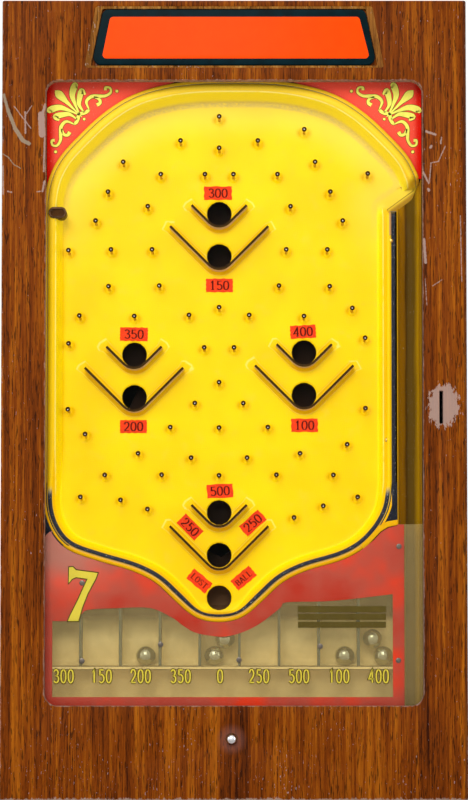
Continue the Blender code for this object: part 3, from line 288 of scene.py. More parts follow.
class Finish:
    """A material whose patterns follow the object's own place, in millimetres."""

    def __init__(self, name, roughness=0.5, metallic=0.0, **sockets):
        self.name = name
        self.material = bpy.data.materials.new(name)
        self.material.use_nodes = True
        self.tree = self.material.node_tree
        self.set(Roughness=roughness, Metallic=metallic,
                 Specular_IOR_Level=0.5 if metallic else PLAIN_GLOSS)
        self.set(**sockets)
        place = self.add("ShaderNodeTexCoord", {}, "Object")
        self.place = self.add("ShaderNodeVectorMath", {0: place, "Scale": 1 / MM},
                              operation="SCALE")
        split = self.add("ShaderNodeSeparateXYZ", {0: self.place}).socket.node
        self.x, self.y, self.z = (Signal(self, socket) for socket in split.outputs)

    def add(self, kind, inputs, output=0, **settings):
        """One output of a new node, with its settings and what feeds its inputs."""
        node = self.tree.nodes.new(kind)
        for key, value in settings.items():
            setattr(node, key, value)
        for key, value in inputs.items():
            self.feed(node.inputs[key], value)
        return Signal(self, node.outputs[output])

    def feed(self, socket, value):
        if isinstance(value, Signal):
            self.tree.links.new(value.socket, socket)
        elif isinstance(value, tuple) and socket.type == "RGBA":
            socket.default_value = linear(value)
        else:
            socket.default_value = value

    def set(self, **sockets):
        """The shader's own sockets, such as Base_Color."""
        for key, value in sockets.items():
            self.feed(self.tree.nodes["Principled BSDF"].inputs[key.replace("_", " ")], value)

    def math(self, operation, first, second=0.0, clamp=False):
        return self.add("ShaderNodeMath", {0: first, 1: second}, operation=operation,
                        use_clamp=clamp)

    def vector(self, operation, *values, output=0):
        return self.add("ShaderNodeVectorMath", dict(enumerate(values)), output,
                        operation=operation)

    def noise(self, size, detail=3.0, roughness=0.5, seed=0.0, distortion=0.0):
        """Smooth noise from 0 to 1 whose blots have the given size, or one for x, y and z."""
        sizes = size if isinstance(size, tuple) else (size,) * 3
        place = self.vector("MULTIPLY_ADD", self.place, tuple(1 / length for length in sizes),
                            (seed, 1.7 * seed, 2.3 * seed))
        return self.add("ShaderNodeTexNoise", {
            "Vector": place, "Scale": 1.0, "Detail": detail, "Roughness": roughness,
            "Distortion": distortion}, "Fac")

    def mix(self, amount, first, second):
        return self.add("ShaderNodeMix", {0: amount, 6: first, 7: second}, 2, data_type="RGBA")

    def coats(self, colour, *coats):
        """The colour under coats, each given as its mask, how well it covers and its colour."""
        for mask, cover, tint in coats:
            colour = self.mix(mask * cover, colour, tint)
        return colour

    def ramp(self, value, *stops):
        colour = self.add("ShaderNodeValToRGB", {0: value}, "Color")
        elements = colour.socket.node.color_ramp.elements
        while len(elements) < len(stops):
            elements.new(0.5)
        for element, (place, shade) in zip(elements, stops):
            element.position = place
            element.color = linear(shade)
        return colour

    def cloud(self, size, seed, dark, light):
        """A colour that drifts between two."""
        return self.ramp(self.noise(size, 3, 0.6, seed), (0.3, dark), (0.7, light))

    def attribute(self, name):
        return self.add("ShaderNodeAttribute", {}, "Fac", attribute_name=name)

    def bump(self, height, depth):
        self.set(Normal=self.add("ShaderNodeBump", {"Height": height, "Distance": depth * MM},
                                 "Normal"))

    def flat_distance(self, start, end=None):
        """Distance in the x-z plane from a point, or from the line between two points."""
        flat = self.vector("MULTIPLY", self.place, (1, 0, 1))
        away = self.vector("SUBTRACT", flat, (start[0], 0, start[1]))
        if end is None:
            return self.vector("LENGTH", away, output="Value")
        along = Vector((end[0] - start[0], 0, end[1] - start[1]))
        share = self.vector("DOT_PRODUCT", away, along / along.length_squared, output="Value")
        share = self.math("ADD", share, 0.0, clamp=True)
        nearest_on = self.add("ShaderNodeVectorMath", {0: along, "Scale": share},
                              operation="SCALE")
        return self.vector("DISTANCE", away, nearest_on, output="Value")


PLAIN_GLOSS = 0.04
WEAR = (165, 138, 126)
SCRAPED = (146, 130, 108)
# painted shade: the brown the channels and the guide board turn above z 112 to 118, behind the
# lowest hole
SHADE_BROWN = (98, 68, 42)
# each wood's dark, middle and light shades
VARNISH = ((46, 13, 0), (114, 50, 3), (164, 92, 12))
PANEL_VARNISH = ((46, 13, 0), (116, 52, 3), (168, 94, 12))
BARE_WOOD = ((150, 104, 58), (178, 132, 80), (198, 156, 104))
RUBBED_WOOD = ((84, 44, 10), (140, 88, 32), (184, 134, 66))
BUTTON = (-1.5, 38.4)
# (start, end, half width) of the long scrape down the left stile
SCUFFS = (
    ((-147.4, 450), (-144.9, 440.5), 0.9), ((-144.9, 440.5), (-140.1, 428.3), 1.1),
    ((-140.1, 428.3), (-135, 420.5), 1.3), ((-135, 420.5), (-131.2, 418.6), 1.2),
    ((-148.2, 412.2), (-144.4, 409.7), 0.25), ((-144.4, 409.7), (-140.9, 405.2), 0.3),
    ((-140.9, 405.2), (-136.5, 402.6), 0.25),
)
# the same for the thin scratches and the chips beside the window
CHIPS = (
    ((-140.7, 442.5), (-129.9, 428.3), 0.3), ((-133.7, 439), (-133.5, 425.4), 0.5),
    ((-129.6, 442.8), (-132.8, 438), 0.25), ((-123.4, 437.2), (-122.8, 424.6), 2.1),
    ((-120.9, 443.4), (-122.5, 438), 0.9), ((-121.2, 422.5), (-121.7, 400.7), 0.5),
    ((-121.2, 394.3), (-122.4, 388), 0.6), ((-122.4, 388), (-126.2, 387.6), 0.25),
    ((-144.8, 387.8), (-142.2, 387.2), 0.4), ((-147.9, 404), (-147.6, 386), 0.5),
    ((120.9, 400.2), (124.4, 393.2), 0.6), ((124.9, 393.7), (125.9, 406.1), 0.3),
    ((125.9, 406.1), (130.7, 407.1), 0.3), ((130.7, 407.1), (135.1, 416.9), 0.3),
    ((123, 426.4), (128.8, 424.4), 0.7), ((125.6, 416), (126.2, 417), 0.7),
    ((132.7, 422.5), (132.2, 418.4), 0.4), ((124.2, 389.2), (124.6, 388.4), 0.8),
    ((121.3, 357), (122.3, 342), 0.8), ((122, 331.6), (123, 314.8), 0.2),
    ((126.8, 327), (132.7, 331), 0.2), ((144.6, 372), (145.4, 330), 0.25),
)


def grain(finish, shades, seed, wide=1.0, level=False):
    """Wood grain, upright or along x, and its streaks: bands, streaks and short dark pores."""
    def noise(across, deep, long, *settings):
        size = (long, across, across) if level else (across, deep, long)
        return finish.noise(size, *settings)

    bands = noise(14 * wide, 40, 420, 3, 0.6, seed, 0.4)
    streaks = noise(1.6 * wide, 4, 60, 4, 0.65, seed + 3)
    fine = noise(0.8 * wide, 2, 26, 3, 0.7, seed + 9)
    base = finish.ramp(bands * 0.36 + streaks * 0.4 + fine * 0.24, *zip((0.36, 0.5, 0.64), shades))
    pores = noise(0.75, 2, 9, 2, 0.6, seed + 7).step(0.55, 0.66)
    return finish.coats(base, (pores, 0.75, darker(shades[0], 0.45))), streaks


def specks(finish, size, seed, patch_size, patch_seed):
    """Noise that is high at small chips, which are denser in patches."""
    return (finish.noise(size, 2, 0.7, seed)
            + finish.noise(patch_size, 2, 0.5, patch_seed) * 0.16)


def wood(name, shades, seed, roughness, wide=1.0, level=False, chipped=None, chip_seed=0,
         depth=0.12):
    finish = Finish(name, roughness)
    colour, streaks = grain(finish, shades, seed, wide, level)
    if chipped is not None:
        chips = specks(finish, (1.3, 1.3, 3.6), chip_seed, (40, 40, 60), chip_seed + 5)
        colour = finish.coats(colour, (chips.step(0.80 - chipped, 0.84 - chipped), 0.8, WEAR))
    finish.set(Base_Color=colour)
    if depth:
        finish.bump(streaks, depth)
    return finish


def panel_wood():
    """The front panel's varnish, worn at its edges, round the coin slot and the button."""
    finish = Finish("panel_wood", 0.45)
    colour, streaks = grain(finish, PANEL_VARNISH, 2)
    flecks = specks(finish, (1.2, 1.2, 3.4), 21, (30, 30, 55), 23) + finish.z.step(60, 5) * 0.025
    aside = abs(finish.x) - (WINDOW_HALF - WINDOW_CORNER)
    over = abs(finish.z - (WINDOW_BOTTOM + WINDOW_TOP) / 2) - (
        (WINDOW_TOP - WINDOW_BOTTOM) / 2 - WINDOW_CORNER)
    window = aside.most(0.0).hypot(over.most(0.0)) + aside.most(over).math("MINIMUM")
    slot = ((finish.x - (COIN_SLOT[0] + 1.3)) / 0.72).hypot(finish.z - (COIN_SLOT[1] + 0.6))
    ragged = finish.noise((2.2, 2.2, 5), 4, 0.7, 31) - 0.5
    worn = 0.0
    for distance, reach, rough in (
            (FACE_HIGH.x - abs(finish.x), 0.1, 4.0), (finish.z - FACE_LOW.z, 0.6, 6.0),
            (abs(window - WINDOW_CORNER), 0.1, 2.6), (slot, 13.4, 22.0)):
        worn = (distance + ragged * rough).step(reach + 0.6, reach - 0.6).most(worn)
    colour = finish.coats(
        colour, (worn, 0.8, WEAR), (flecks.step(0.775, 0.81), 0.7, (176, 148, 150)))
    torn = (finish.noise((0.9, 0.9, 1.5), 3, 0.7, 37) - 0.5) * 1.6
    for shade, marks in ((SCRAPED, SCUFFS), (WEAR, CHIPS)):
        scraped = 0.0
        for start, end, half in marks:
            gap = finish.flat_distance(start, end) + torn
            scraped = gap.step(half + 0.25, half - 0.25).most(scraped)
        colour = finish.coats(colour, (scraped, 0.8, shade))
    halo = finish.flat_distance(BUTTON).step(11, 4)
    dark_edge = finish.x.band(147.6, 0.7, 0.8)
    finish.set(Base_Color=finish.coats(
        colour, (halo, 0.25, (150, 105, 96)), (dark_edge, 0.55, (45, 22, 14))))
    finish.bump(streaks, 0.15)
    return finish


def tray_enamel():
    """Yellow with dust, painted shade and painted highlights along the pressing's lines, and black
    and orange at the lip.

    The mesh's attributes say where: inset is the distance inside the crest, exit and lower
    are the lane's exit and the lip, and wing, channel and under lie round pins, fences and holes.
    """
    finish = Finish("yellow_enamel", 0.33, Specular_IOR_Level=0.08)
    z = finish.z
    inset, lower, at_exit, wing, channel, under = (finish.attribute(name) for name in (
        "inset", "lower", "exit", "wing", "channel", "under"))
    raised = finish.math("SUBTRACT", 1.0, at_exit, clamp=True)
    fine = finish.noise(7, 4, 0.65, 9)
    deep = finish.mix(finish.noise(45, 3, 0.5, 3).step(0.35, 0.7), (248, 206, 0), (254, 216, 0))
    pale = inset.step(34, 9) * z.step(330, 420)
    # crest: a painted highlight, a pale broken line along the crest's roll
    crest = inset.band(3.2, 0.12, 0.3) * fine.step(0.3, 0.5) * (1.0 - lower) * raised
    dust = (inset.band(8.6, 0.9, 1.9) * z.step(345, 450)
            * finish.noise(0.7, 3, 0.7, 45).step(0.3, 0.62))
    strip = finish.x.band(100.6, 0.7, 0.2) * z.band(370, 8.2, 0.6)
    right = finish.x.step(101.0, 101.3) * z.step(380.0, 379.0) * z.step(172, 173)
    black = (lower * inset.band(0.2, 1.15, 0.3)).most(right)
    chipped = finish.noise(1.0, 2, 0.7, 41).step(0.66, 0.7)
    finish.set(Base_Color=finish.coats(
        deep, (pale, 0.5, (252, 230, 100)), (fine.step(0.5, 0.78), 0.16, (214, 196, 90)),
        # painted shade on the crest's broad roll, then painted light on the wall inside it
        (raised * inset.step(3.0, 2.6), 0.6, (246, 196, 4)),
        (raised * inset.band(5.0, 1.4, 0.8), 0.6, (255, 236, 0)),
        (crest, 0.75, (255, 246, 150)), (dust, 0.75, (200, 176, 112)),
        # wing: painted shade and painted reflection in the dimples at each pin's sides; channel:
        # painted shade in the dips along the fences
        (wing, 0.5, (216, 160, 0)), (channel, 0.28, (240, 182, 0)),
        # a painted highlight along the dips' lower edge, and painted shade under each hole, inside
        # the fence's bow
        (channel.band(0.18, 0.06, 0.1), 0.5, (255, 242, 120)), (under, 0.5, (238, 166, 0)),
        (raised * inset.step(-2.2, -2.8), 1.0, (240, 188, 30)),
        (raised * inset.band(-2.1, 0.12, 0.25), 0.75, (96, 92, 84)),
        (lower * inset.step(-1.6, -1.9), 1.0, (244, 182, 6)),
        # painted highlight: a pale line along the lip's edge under its black stripe
        (lower * inset.band(-1.75, 0.12, 0.2), 0.7, (240, 232, 190)),
        (at_exit * inset.step(0.3, -2.6), 0.85, (168, 116, 6)),
        # painted shade: a dark line in the crease at the lane's exit
        (at_exit * inset.band(0.0, 0.15, 0.25), 0.7, (110, 70, 0)),
        (strip, 0.8, (196, 146, 112)), (black, 1.0, (196, 190, 176)),
        (black * (1.0 - chipped), 1.0, (38, 41, 52))))
    finish.bump(finish.noise(2.5, 3, 0.6, 13), 0.03)
    return finish


def lane_brass():
    """The trough's colours from its left side to its right one: its brass tone with painted shade
    and painted reflections across its curve.
    """
    finish = Finish("lane_brass", 0.45)
    across = (finish.x - (LANE_X - 8)) / 16.0 + (finish.noise((5, 5, 60), 3, 0.6, 6) - 0.5) * 0.16
    # the ramp paints the trough's shading and reflections: gold at its sides, dark just left of
    # the middle
    colour = finish.ramp(
        across, (0.02, (190, 140, 6)), (0.2, (170, 120, 4)), (0.34, (142, 98, 4)),
        (0.41, (78, 50, 2)), (0.5, (94, 70, 12)), (0.72, (100, 74, 12)),
        (0.88, (186, 142, 8)), (0.98, (150, 104, 8)))
    marks = finish.noise((1.0, 1.0, 2.0), 2, 0.7, 19).step(0.7, 0.74)
    finish.set(Base_Color=finish.coats(colour, (marks, 0.5, (206, 190, 150))))
    return finish


def guide_enamel():
    """Tan low down, where it shows in the channels; above, painted shade: brown, then dark behind
    the holes.
    """
    finish = Finish("guide_enamel", 0.6)
    tan = finish.cloud((12, 12, 30), 8, (214, 184, 110), (240, 212, 136))
    # dark: painted shade for the unlit space seen through the holes
    dark = finish.cloud((12, 12, 30), 8, (26, 14, 6), (44, 26, 12))
    finish.set(Base_Color=finish.coats(
        tan, (finish.z.step(112, 118), 1.0, SHADE_BROWN), (finish.z.step(137, 146), 1.0, dark)))
    return finish


def tan_enamel():
    """The channels' paint, with painted shade above, behind the lowest hole: brown."""
    finish = Finish("tan_enamel", 0.5)
    tan = finish.cloud(9, 18, (232, 204, 130), (255, 226, 146))
    finish.set(Base_Color=finish.coats(tan, (finish.z.step(113, 118), 1.0, SHADE_BROWN)))
    return finish


def sheet_red():
    finish = Finish("sheet_red", 0.28, Alpha=0.84)
    colour = finish.ramp(finish.noise(34, 3, 0.55, 5), (0.3, (184, 52, 34)), (0.5, (184, 78, 60)),
                         (0.72, (232, 62, 30)))
    left = finish.x.step(-60, -112) * finish.z.step(120, 160)
    finish.set(Base_Color=finish.coats(colour, (left, 0.5, (190, 150, 130))))
    return finish


def red_card():
    finish = Finish("red_card", 0.35)
    # near: a painted shadow, deeper red along the window's sides where the wooden frame shades the
    # card
    near = (WINDOW_HALF - abs(finish.x)).step(6, 1)
    marks = finish.noise(1.1, 2, 0.7, 27).step(0.7, 0.74)
    finish.set(Base_Color=finish.coats(
        finish.mix(near, (250, 84, 62), (226, 20, 2)), (marks, 0.7, (252, 196, 176))))
    return finish


def fence_steel():
    """Dark along the front edge; the strips' sides pick up the light."""
    finish = Finish("fence_steel", 0.5)
    front = finish.y.step(FLOOR_Y - 7.1, FLOOR_Y - 7.7)
    finish.set(Base_Color=finish.mix(front, (206, 172, 128), (58, 38, 8)))
    return finish


def tinted(name, colour, alpha, roughness, seed):
    finish = Finish(name, roughness, Alpha=alpha)
    finish.set(Base_Color=finish.cloud((14, 14, 30), seed, darker(colour, 0.9), colour))
    return finish


def metal(name, colour, roughness, seed, tarnish, tarnished):
    finish = Finish(name, roughness, 1.0)
    spots = finish.noise(6, 4, 0.6, seed).step(0.45, 0.75)
    finish.set(Base_Color=finish.coats(colour, (spots, tarnished, tarnish)))
    finish.bump(finish.noise(0.8, 3, 0.6, seed + 2), 0.02)
    return finish


def paint(name, colour, roughness, seed, shade, gloss=PLAIN_GLOSS):
    """An even coat of paint with a faint cloudiness."""
    finish = Finish(name, roughness, Specular_IOR_Level=gloss)
    finish.set(Base_Color=finish.cloud(9, seed, darker(colour, 1 - shade), colour))
    return finish


FINISHES = {finish.name: finish for finish in (
    wood("varnished_wood", VARNISH, 11, 0.45, chipped=0.0, chip_seed=4),
    wood("level_wood", VARNISH, 11, 0.45, level=True, chipped=0.0, chip_seed=4),
    wood("plain_wood", BARE_WOOD, 40, 0.6, 1.6),
    wood("worn_wood", RUBBED_WOOD, 50, 0.5, chipped=0.06, chip_seed=51, depth=0),
    panel_wood(), tray_enamel(), lane_brass(), guide_enamel(), tan_enamel(), sheet_red(),
    red_card(), fence_steel(),
    metal("dark_steel", (78, 54, 36), 0.5, 2, (44, 26, 14), 0.7),
    metal("ball_steel", (168, 168, 134), 0.14, 5, (120, 118, 84), 0.3),
    metal("steel", (168, 170, 172), 0.32, 8, (120, 104, 88), 0.35),
    metal("chrome", (214, 216, 220), 0.1, 10, (150, 150, 156), 0.2),
    metal("brass", (206, 168, 84), 0.3, 12, (128, 92, 40), 0.5),
    metal("tinplate", (160, 160, 158), 0.4, 14, (112, 106, 98), 0.4),
    metal("pin_steel", (62, 38, 18), 0.45, 15, (30, 14, 6), 0.6),
    metal("nail", (96, 88, 80), 0.35, 29, (50, 40, 34), 0.5),
    # pin_shank: a painted reflection, the yellow of the field on the pins' steel shanks
    paint("pin_shank", (222, 170, 20), 0.4, 34, 0.2),
    paint("title_enamel", (0, 28, 34), 0.4, 16, 0.4),
    paint("title_field", (250, 72, 2), 0.34, 17, 0.06),
    paint("divider_grey", (46, 78, 74), 0.5, 19, 0.2),
    paint("black_knob", (16, 16, 18), 0.25, 20, 0.2, 0.4),
    paint("sticker", (243, 66, 26), 0.6, 21, 0.08),
    paint("ink", (96, 22, 12), 0.6, 22, 0.2),
    paint("print_yellow", (216, 196, 66), 0.5, 23, 0.06),
    paint("print_dark", (88, 74, 28), 0.5, 24, 0.1),
    paint("gold", (255, 248, 104), 0.4, 25, 0.08),
    paint("scroll_line", (120, 70, 20), 0.5, 26, 0.1),
    paint("black", (36, 38, 48), 0.5, 27, 0.3),
    paint("orange", (244, 182, 6), 0.35, 28, 0.08),
    # black for the screw slots and the keyhole: painted shade for their depth
    paint("hole_shade", (10, 8, 8), 0.8, 30, 0.2),
    # painted shade inside the rebound loop's hollow
    paint("loop_shade", (92, 54, 20), 0.7, 33, 0.4),
    tinted("window_glass", (120, 126, 122), 0.006, 0.03, 31),
    tinted("celluloid", (210, 184, 122), 0.17, 0.25, 32),
)}


# ---------------------------------------------------------------- mesh building
class Shape:
    """Points and faces, in millimetres, that become one piece."""

    def __init__(self):
        self.points = []
        self.faces = []

    def take(self, points, faces):
        start = len(self.points)
        self.points += [tuple(point) for point in points]
        self.faces += [[start + index for index in face] for face in faces]

    def grid(self, rows, around=False, over=False):
        """Rows of points joined by faces; around closes each row, over joins last to first."""
        wide = len(rows[0])
        faces = []
        for row in range(len(rows) - (0 if over else 1)):
            for column in range(wide - (0 if around else 1)):
                a, b, after = row * wide, (row + 1) % len(rows) * wide, (column + 1) % wide
                faces.append([a + column, a + after, b + after, b + column])
        self.take([point for row in rows for point in row], faces)

    def prism(self, outline, front, back):
        """An outline in the x-z plane, pushed from front to back."""
        count = len(outline)
        points = [(x, y, z) for y in (front, back) for x, z in outline]
        faces = [list(range(count)), list(range(2 * count - 1, count - 1, -1))]
        faces += [[i, (i + 1) % count, count + (i + 1) % count, count + i] for i in range(count)]
        self.take(points, faces)

    def block(self, low, high):
        self.prism(box_outline(low[0], high[0], low[2], high[2]), low[1], high[1])

    def ribbon(self, path, halves, front, back):
        """A flat band along a path in the x-z plane, with its half width at each point."""
        normals = normals_right(path, False)
        points = []
        for point, normal, half in zip(path, normals, halves):
            for side in (-half, half):
                spot = Vector(point) + normal * side
                points += [(spot.x, front, spot.y), (spot.x, back, spot.y)]
        faces = [[0, 2, 3, 1]]
        for index in range(len(path) - 1):
            a = 4 * index
            faces += [[a, a + 4, a + 6, a + 2], [a + 1, a + 3, a + 7, a + 5],
                      [a, a + 1, a + 5, a + 4], [a + 2, a + 6, a + 7, a + 3]]
        last = 4 * (len(path) - 1)
        faces.append([last, last + 1, last + 3, last + 2])
        self.take(points, faces)

    def lathe(self, profile, base, axis="Y", sides=20, lean=0.0):
        """(along, radius) turned about an axis through base; lean lifts it along z."""
        rings = []
        for along, radius in profile:
            ring = circle((0, 0), radius, sides)
            rings.append([
                (base[0] + a, base[1] + along, base[2] + b + lean * along) if axis == "Y"
                else (base[0] + along, base[1] + a, base[2] + b) for a, b in ring])
        first = len(self.points)
        self.grid(rings, around=True)
        last = len(self.points) - sides
        self.faces += [list(range(start, start + sides)) for start in (first, last)]

    def sphere(self, centre, radius, rings=24, sides=32):
        angles = [math.pi * step / rings for step in range(1, rings)]
        self.lathe([(-radius * math.cos(angle), radius * math.sin(angle)) for angle in angles],
                   centre, "Y", sides)

    def make(self, name, finish, body="cabinet", slot=None, replaces=(), smooth=True,
             sharp=35, bevel=0.0):
        mesh = bpy.data.meshes.new(name)
        mesh.from_pydata([[value * MM for value in p] for p in self.points], [], self.faces)
        turn_outwards(mesh)
        if smooth:
            mesh.shade_smooth()
            mesh.set_sharp_from_angle(angle=math.radians(sharp))
        item = settle(name, mesh, finish, body, replaces)
        if bevel:
            add_bevel(item, bevel)
        return item


def turn_outwards(mesh, weld=None):
    """Face normals outwards, with points closer than weld millimetres made one."""
    shape = bmesh.new()
    shape.from_mesh(mesh)
    if weld:
        bmesh.ops.remove_doubles(shape, verts=shape.verts, dist=weld * MM)
    bmesh.ops.recalc_face_normals(shape, faces=shape.faces)
    shape.to_mesh(mesh)
    shape.free()


def linked(name, data):
    item = bpy.data.objects.new(name, data)
    bpy.context.scene.collection.objects.link(item)
    return item


def settle(name, mesh, finish, body, replaces):
    """The mesh as a piece that rides on its body."""
    mesh.materials.clear()
    mesh.materials.append(FINISHES[finish].material)
    item = linked(name, mesh)
    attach(item, body)
    if replaces:
        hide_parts(*replaces)
    return item


def add_bevel(item, width):
    bevel = item.modifiers.new("edges", "BEVEL")
    bevel.width = width * MM
    bevel.segments = 2
    bevel.limit_method = "ANGLE"
    bevel.angle_limit = math.radians(40)
    bevel.harden_normals = True


def plate(name, outlines, front, back, bevel, finish, body="cabinet", replaces=()):
    """A flat plate with rounded edges; outlines after the first are holes."""
    curve = bpy.data.curves.new(name, "CURVE")
    curve.dimensions = "2D"
    curve.fill_mode = "BOTH"
    curve.extrude = ((back - front) / 2 - bevel) * MM
    curve.bevel_depth = bevel * MM
    curve.bevel_resolution = 2
    curve.offset = -bevel * MM
    for outline in outlines:
        spline = curve.splines.new("POLY")
        spline.points.add(len(outline) - 1)
        for point, (across, up) in zip(spline.points, outline):
            point.co = (across * MM, up * MM, 0, 1)
        spline.use_cyclic_u = True
    flat = linked(name, curve)
    bpy.context.view_layer.update()
    evaluated = flat.evaluated_get(bpy.context.evaluated_depsgraph_get())
    mesh = bpy.data.meshes.new_from_object(evaluated)
    bpy.data.objects.remove(flat)
    middle = (front + back) / 2 * MM
    mesh.transform(Matrix.Translation((0, middle, 0)) @ Matrix.Rotation(math.pi / 2, 4, "X"))
    turn_outwards(mesh, 0.002)
    mesh.name = name
    mesh.shade_smooth()
    mesh.set_sharp_from_angle(angle=math.radians(50))
    return settle(name, mesh, finish, body, replaces)


def thicken(item, thickness, side=None):
    """A sheet's thickness, to the back of its face, or to both sides with side at 0."""
    if side is None:
        normal = item.data.polygons[len(item.data.polygons) // 2].normal
        side = -1 if normal.y < 0 else 1
    solid = item.modifiers.new("sheet", "SOLIDIFY")
    solid.thickness = thickness * MM
    solid.offset = side


# ---------------------------------------------------------------- cabinet
TITLE_CORNERS = [(-91.4, 469.6), (91.4, 469.6), (84.0, 505.4), (-84.0, 505.4)]


def grown(corners, spread, spread_up):
    """The title's trapezoid with its corners moved out."""
    signs = ((-1, -1), (1, -1), (1, 1), (-1, 1))
    return [(x + spread * a, z + spread_up * b) for (x, z), (a, b) in zip(corners, signs)]


def make_panel():
    face = box_outline(FACE_LOW.x, FACE_HIGH.x, FACE_LOW.z, FACE_HIGH.z, 1.2, 6)
    window = box_outline(-WINDOW_HALF, WINDOW_HALF, WINDOW_BOTTOM, WINDOW_TOP, WINDOW_CORNER, 12)
    slot = box_outline(COIN_SLOT[0] - 1.15, COIN_SLOT[0] + 1.15, COIN_SLOT[1] - 10.5,
                       COIN_SLOT[1] + 10.5, 0.5, 3)
    button = circle(BUTTON, 3.6, 32)
    recess = rounded(grown(TITLE_CORNERS, 4.6, 1.9), [1.5] * 4)
    middle = FRONT + 3.5
    holes = [window, slot, button]
    plate("front_panel_face", [face, recess] + holes, FRONT, middle, 0.6, "panel_wood",
          replaces=("front_panel",))
    plate("front_panel_back", [face] + holes, middle - 0.1, FACE_BACK, 0.3, "panel_wood")
    slope = Shape()
    outer = rounded(grown(TITLE_CORNERS, 5.0, 2.3), [1.8] * 4)
    inner = rounded(grown(TITLE_CORNERS, 0.5, 0.5), [1.0] * 4)
    rings = ((outer, FRONT + 0.25), (inner, FRONT + 1.1), (inner, middle), (outer, middle))
    slope.grid([[(x, depth, z) for x, z in ring] for ring, depth in rings], True, True)
    slope.make("title_recess", "worn_wood", slot="varnished_wood")


def make_title():
    """The title plate, bare: a dark border round a plain field."""
    outline = rounded(TITLE_CORNERS, [5, 5, 4, 4])
    plate("title_plate", [outline], FRONT + 0.6, FRONT + 3.0, 0.5, "title_enamel",
          replaces=("title_plate",))
    field = rounded([(-84.8, 473.6), (87.0, 473.6), (80.2, 500.6), (-79.4, 500.6)], [2.4] * 4)
    plate("title_field", [field], FRONT + 0.45, FRONT + 0.85, 0.08, "title_field")


def make_glass():
    low, high = box_mm("window_glass")
    outline = box_outline(low.x, high.x, low.z, high.z, 1.5, 3)
    plate("window_glass_pane", [outline], low.y, high.y, 0.2, "window_glass",
          replaces=("window_glass",))


# ---------------------------------------------------------------- playfield
RIM_SPACING = 1.8


def crest_line():
    """The tray's crest, clockwise as seen from the front, and which points are at the exit."""
    right = [(FIELD_X + d, z) for d, z in LIP[:5]] + [
        (78.5, 162), (86.5, 169), (93, 177.5), (97.6, 188), (RIGHT_EDGE, 203)]
    left = [(FIELD_X - d, z) for d, z in LIP] + [
        (-ARCH_HALF + 4, 174), (-ARCH_HALF, 187), (-ARCH_HALF, 200)]
    lower = smooth_curve(right[::-1] + [(FIELD_X, LIP_BOTTOM)] + left, 8)
    arch = [(-x, z) for x, z in SHOULDER] + [(0, ARCH_TOP)]
    arch += [(x, z) for x, z in SHOULDER[:0:-1] if z > EXIT_TOP] + [(116.3, EXIT_TOP)]
    rim = resampled(lower + smooth_curve(arch, 8), RIM_SPACING)
    for _ in range(6):
        rim = [rim[0]] + [
            tuple((Vector(a) + 2 * Vector(b) + Vector(c)) / 4)
            for a, b, c in zip(rim, rim[1:], rim[2:])] + [rim[-1]]
    corner_top, corner_bottom = rim[-1], (RIGHT_EDGE, EXIT_BOTTOM)
    step = resampled([corner_top, corner_bottom], RIM_SPACING)[1:]
    side = resampled([corner_bottom, rim[0]], RIM_SPACING)[1:-1]
    exit_first = len(rim) - 1
    return rim + step + side, exit_first, exit_first + len(step)


PATH, EXIT_FIRST, EXIT_LAST = crest_line()
# (distance inside the crest, share of the crest's rise)
RIM_PROFILE = (
    (-4.4, 0.885), (-4.0, 0.905), (-2.4, 0.91), (-2.15, 0.885), (-1.9, 0.885), (-1.65, 0.915),
    (-1.2, 0.955), (-0.7, 0.985), (-0.1, 1.0), (0.6, 0.995), (1.1, 0.96), (1.6, 0.87),
    (2.4, 0.68), (3.2, 0.48), (4.0, 0.29), (4.6, 0.16), (5.1, 0.08), (5.6, 0.03),
    (6.1, 0.006), (6.6, 0.0))


def exit_share(index):
    """How much of its full height the rim keeps at a point: little at the lane's exit."""
    if EXIT_FIRST <= index <= EXIT_LAST:
        return 0.0
    gap = min(abs(index - EXIT_FIRST), abs(index - EXIT_LAST)) * RIM_SPACING
    return smoothstep(gap, 0.0, 6.0)


def broadened(point, inside):
    """How much further in the profile lies where the roll is broad: the arch and the left."""
    up = smoothstep(point[1], 193.0, 230.0)
    if point[0] > 60:
        up *= smoothstep(point[1], 385.0, 420.0)
    return 2.0 * up * smoothstep(inside, -1.7, 1.6)


def wall_share(point):
    """The wall is narrower under the lowest hole."""
    if point[1] > 150:
        return 1.0
    return 0.36 + 0.64 * smoothstep(abs(point[0] - FIELD_X), 9.0, 26.0)


def fence_path(across, up, half, spacing=1.5):
    arm = half - FENCE_BOW * math.sqrt(0.5)
    bow = arc((across, up), FENCE_BOW, 225, 315, 10)
    line = [(bow[0][0] - arm, bow[0][1] + arm)] + bow + [(bow[-1][0] + arm, bow[-1][1] + arm)]
    return resampled(line, spacing)


def fences():
    made = []
    for place, across, top, _ in HOLE_COLUMNS:
        made.append((f"{place}_small_fence", FIELD_X + across, top, SMALL_FENCE))
        made.append((f"{place}_large_fence", FIELD_X + across, top - HOLE_PITCH, LARGE_FENCE))
    return made


class Near:
    """The nearest of some places in the x-z plane."""

    def __init__(self, places):
        self.tree = kdtree.KDTree(len(places))
        for index, (x, z) in enumerate(places):
            self.tree.insert((x, z, 0), index)
        self.tree.balance()

    def find(self, point):
        return self.tree.find((point[0], point[1], 0))

    def gap(self, point):
        return self.find(point)[2]


FENCE_LINES = [fence_path(x, z, half) for _, x, z, half in fences()]
PINS = Near(pin_places())
HOLES = Near(hole_places())
FENCES = Near([point for line in FENCE_LINES for point in resampled(line, 0.5)])
CREST = Near(resampled(PATH, 0.4, closed=True))
HOLE_SIDES = 48
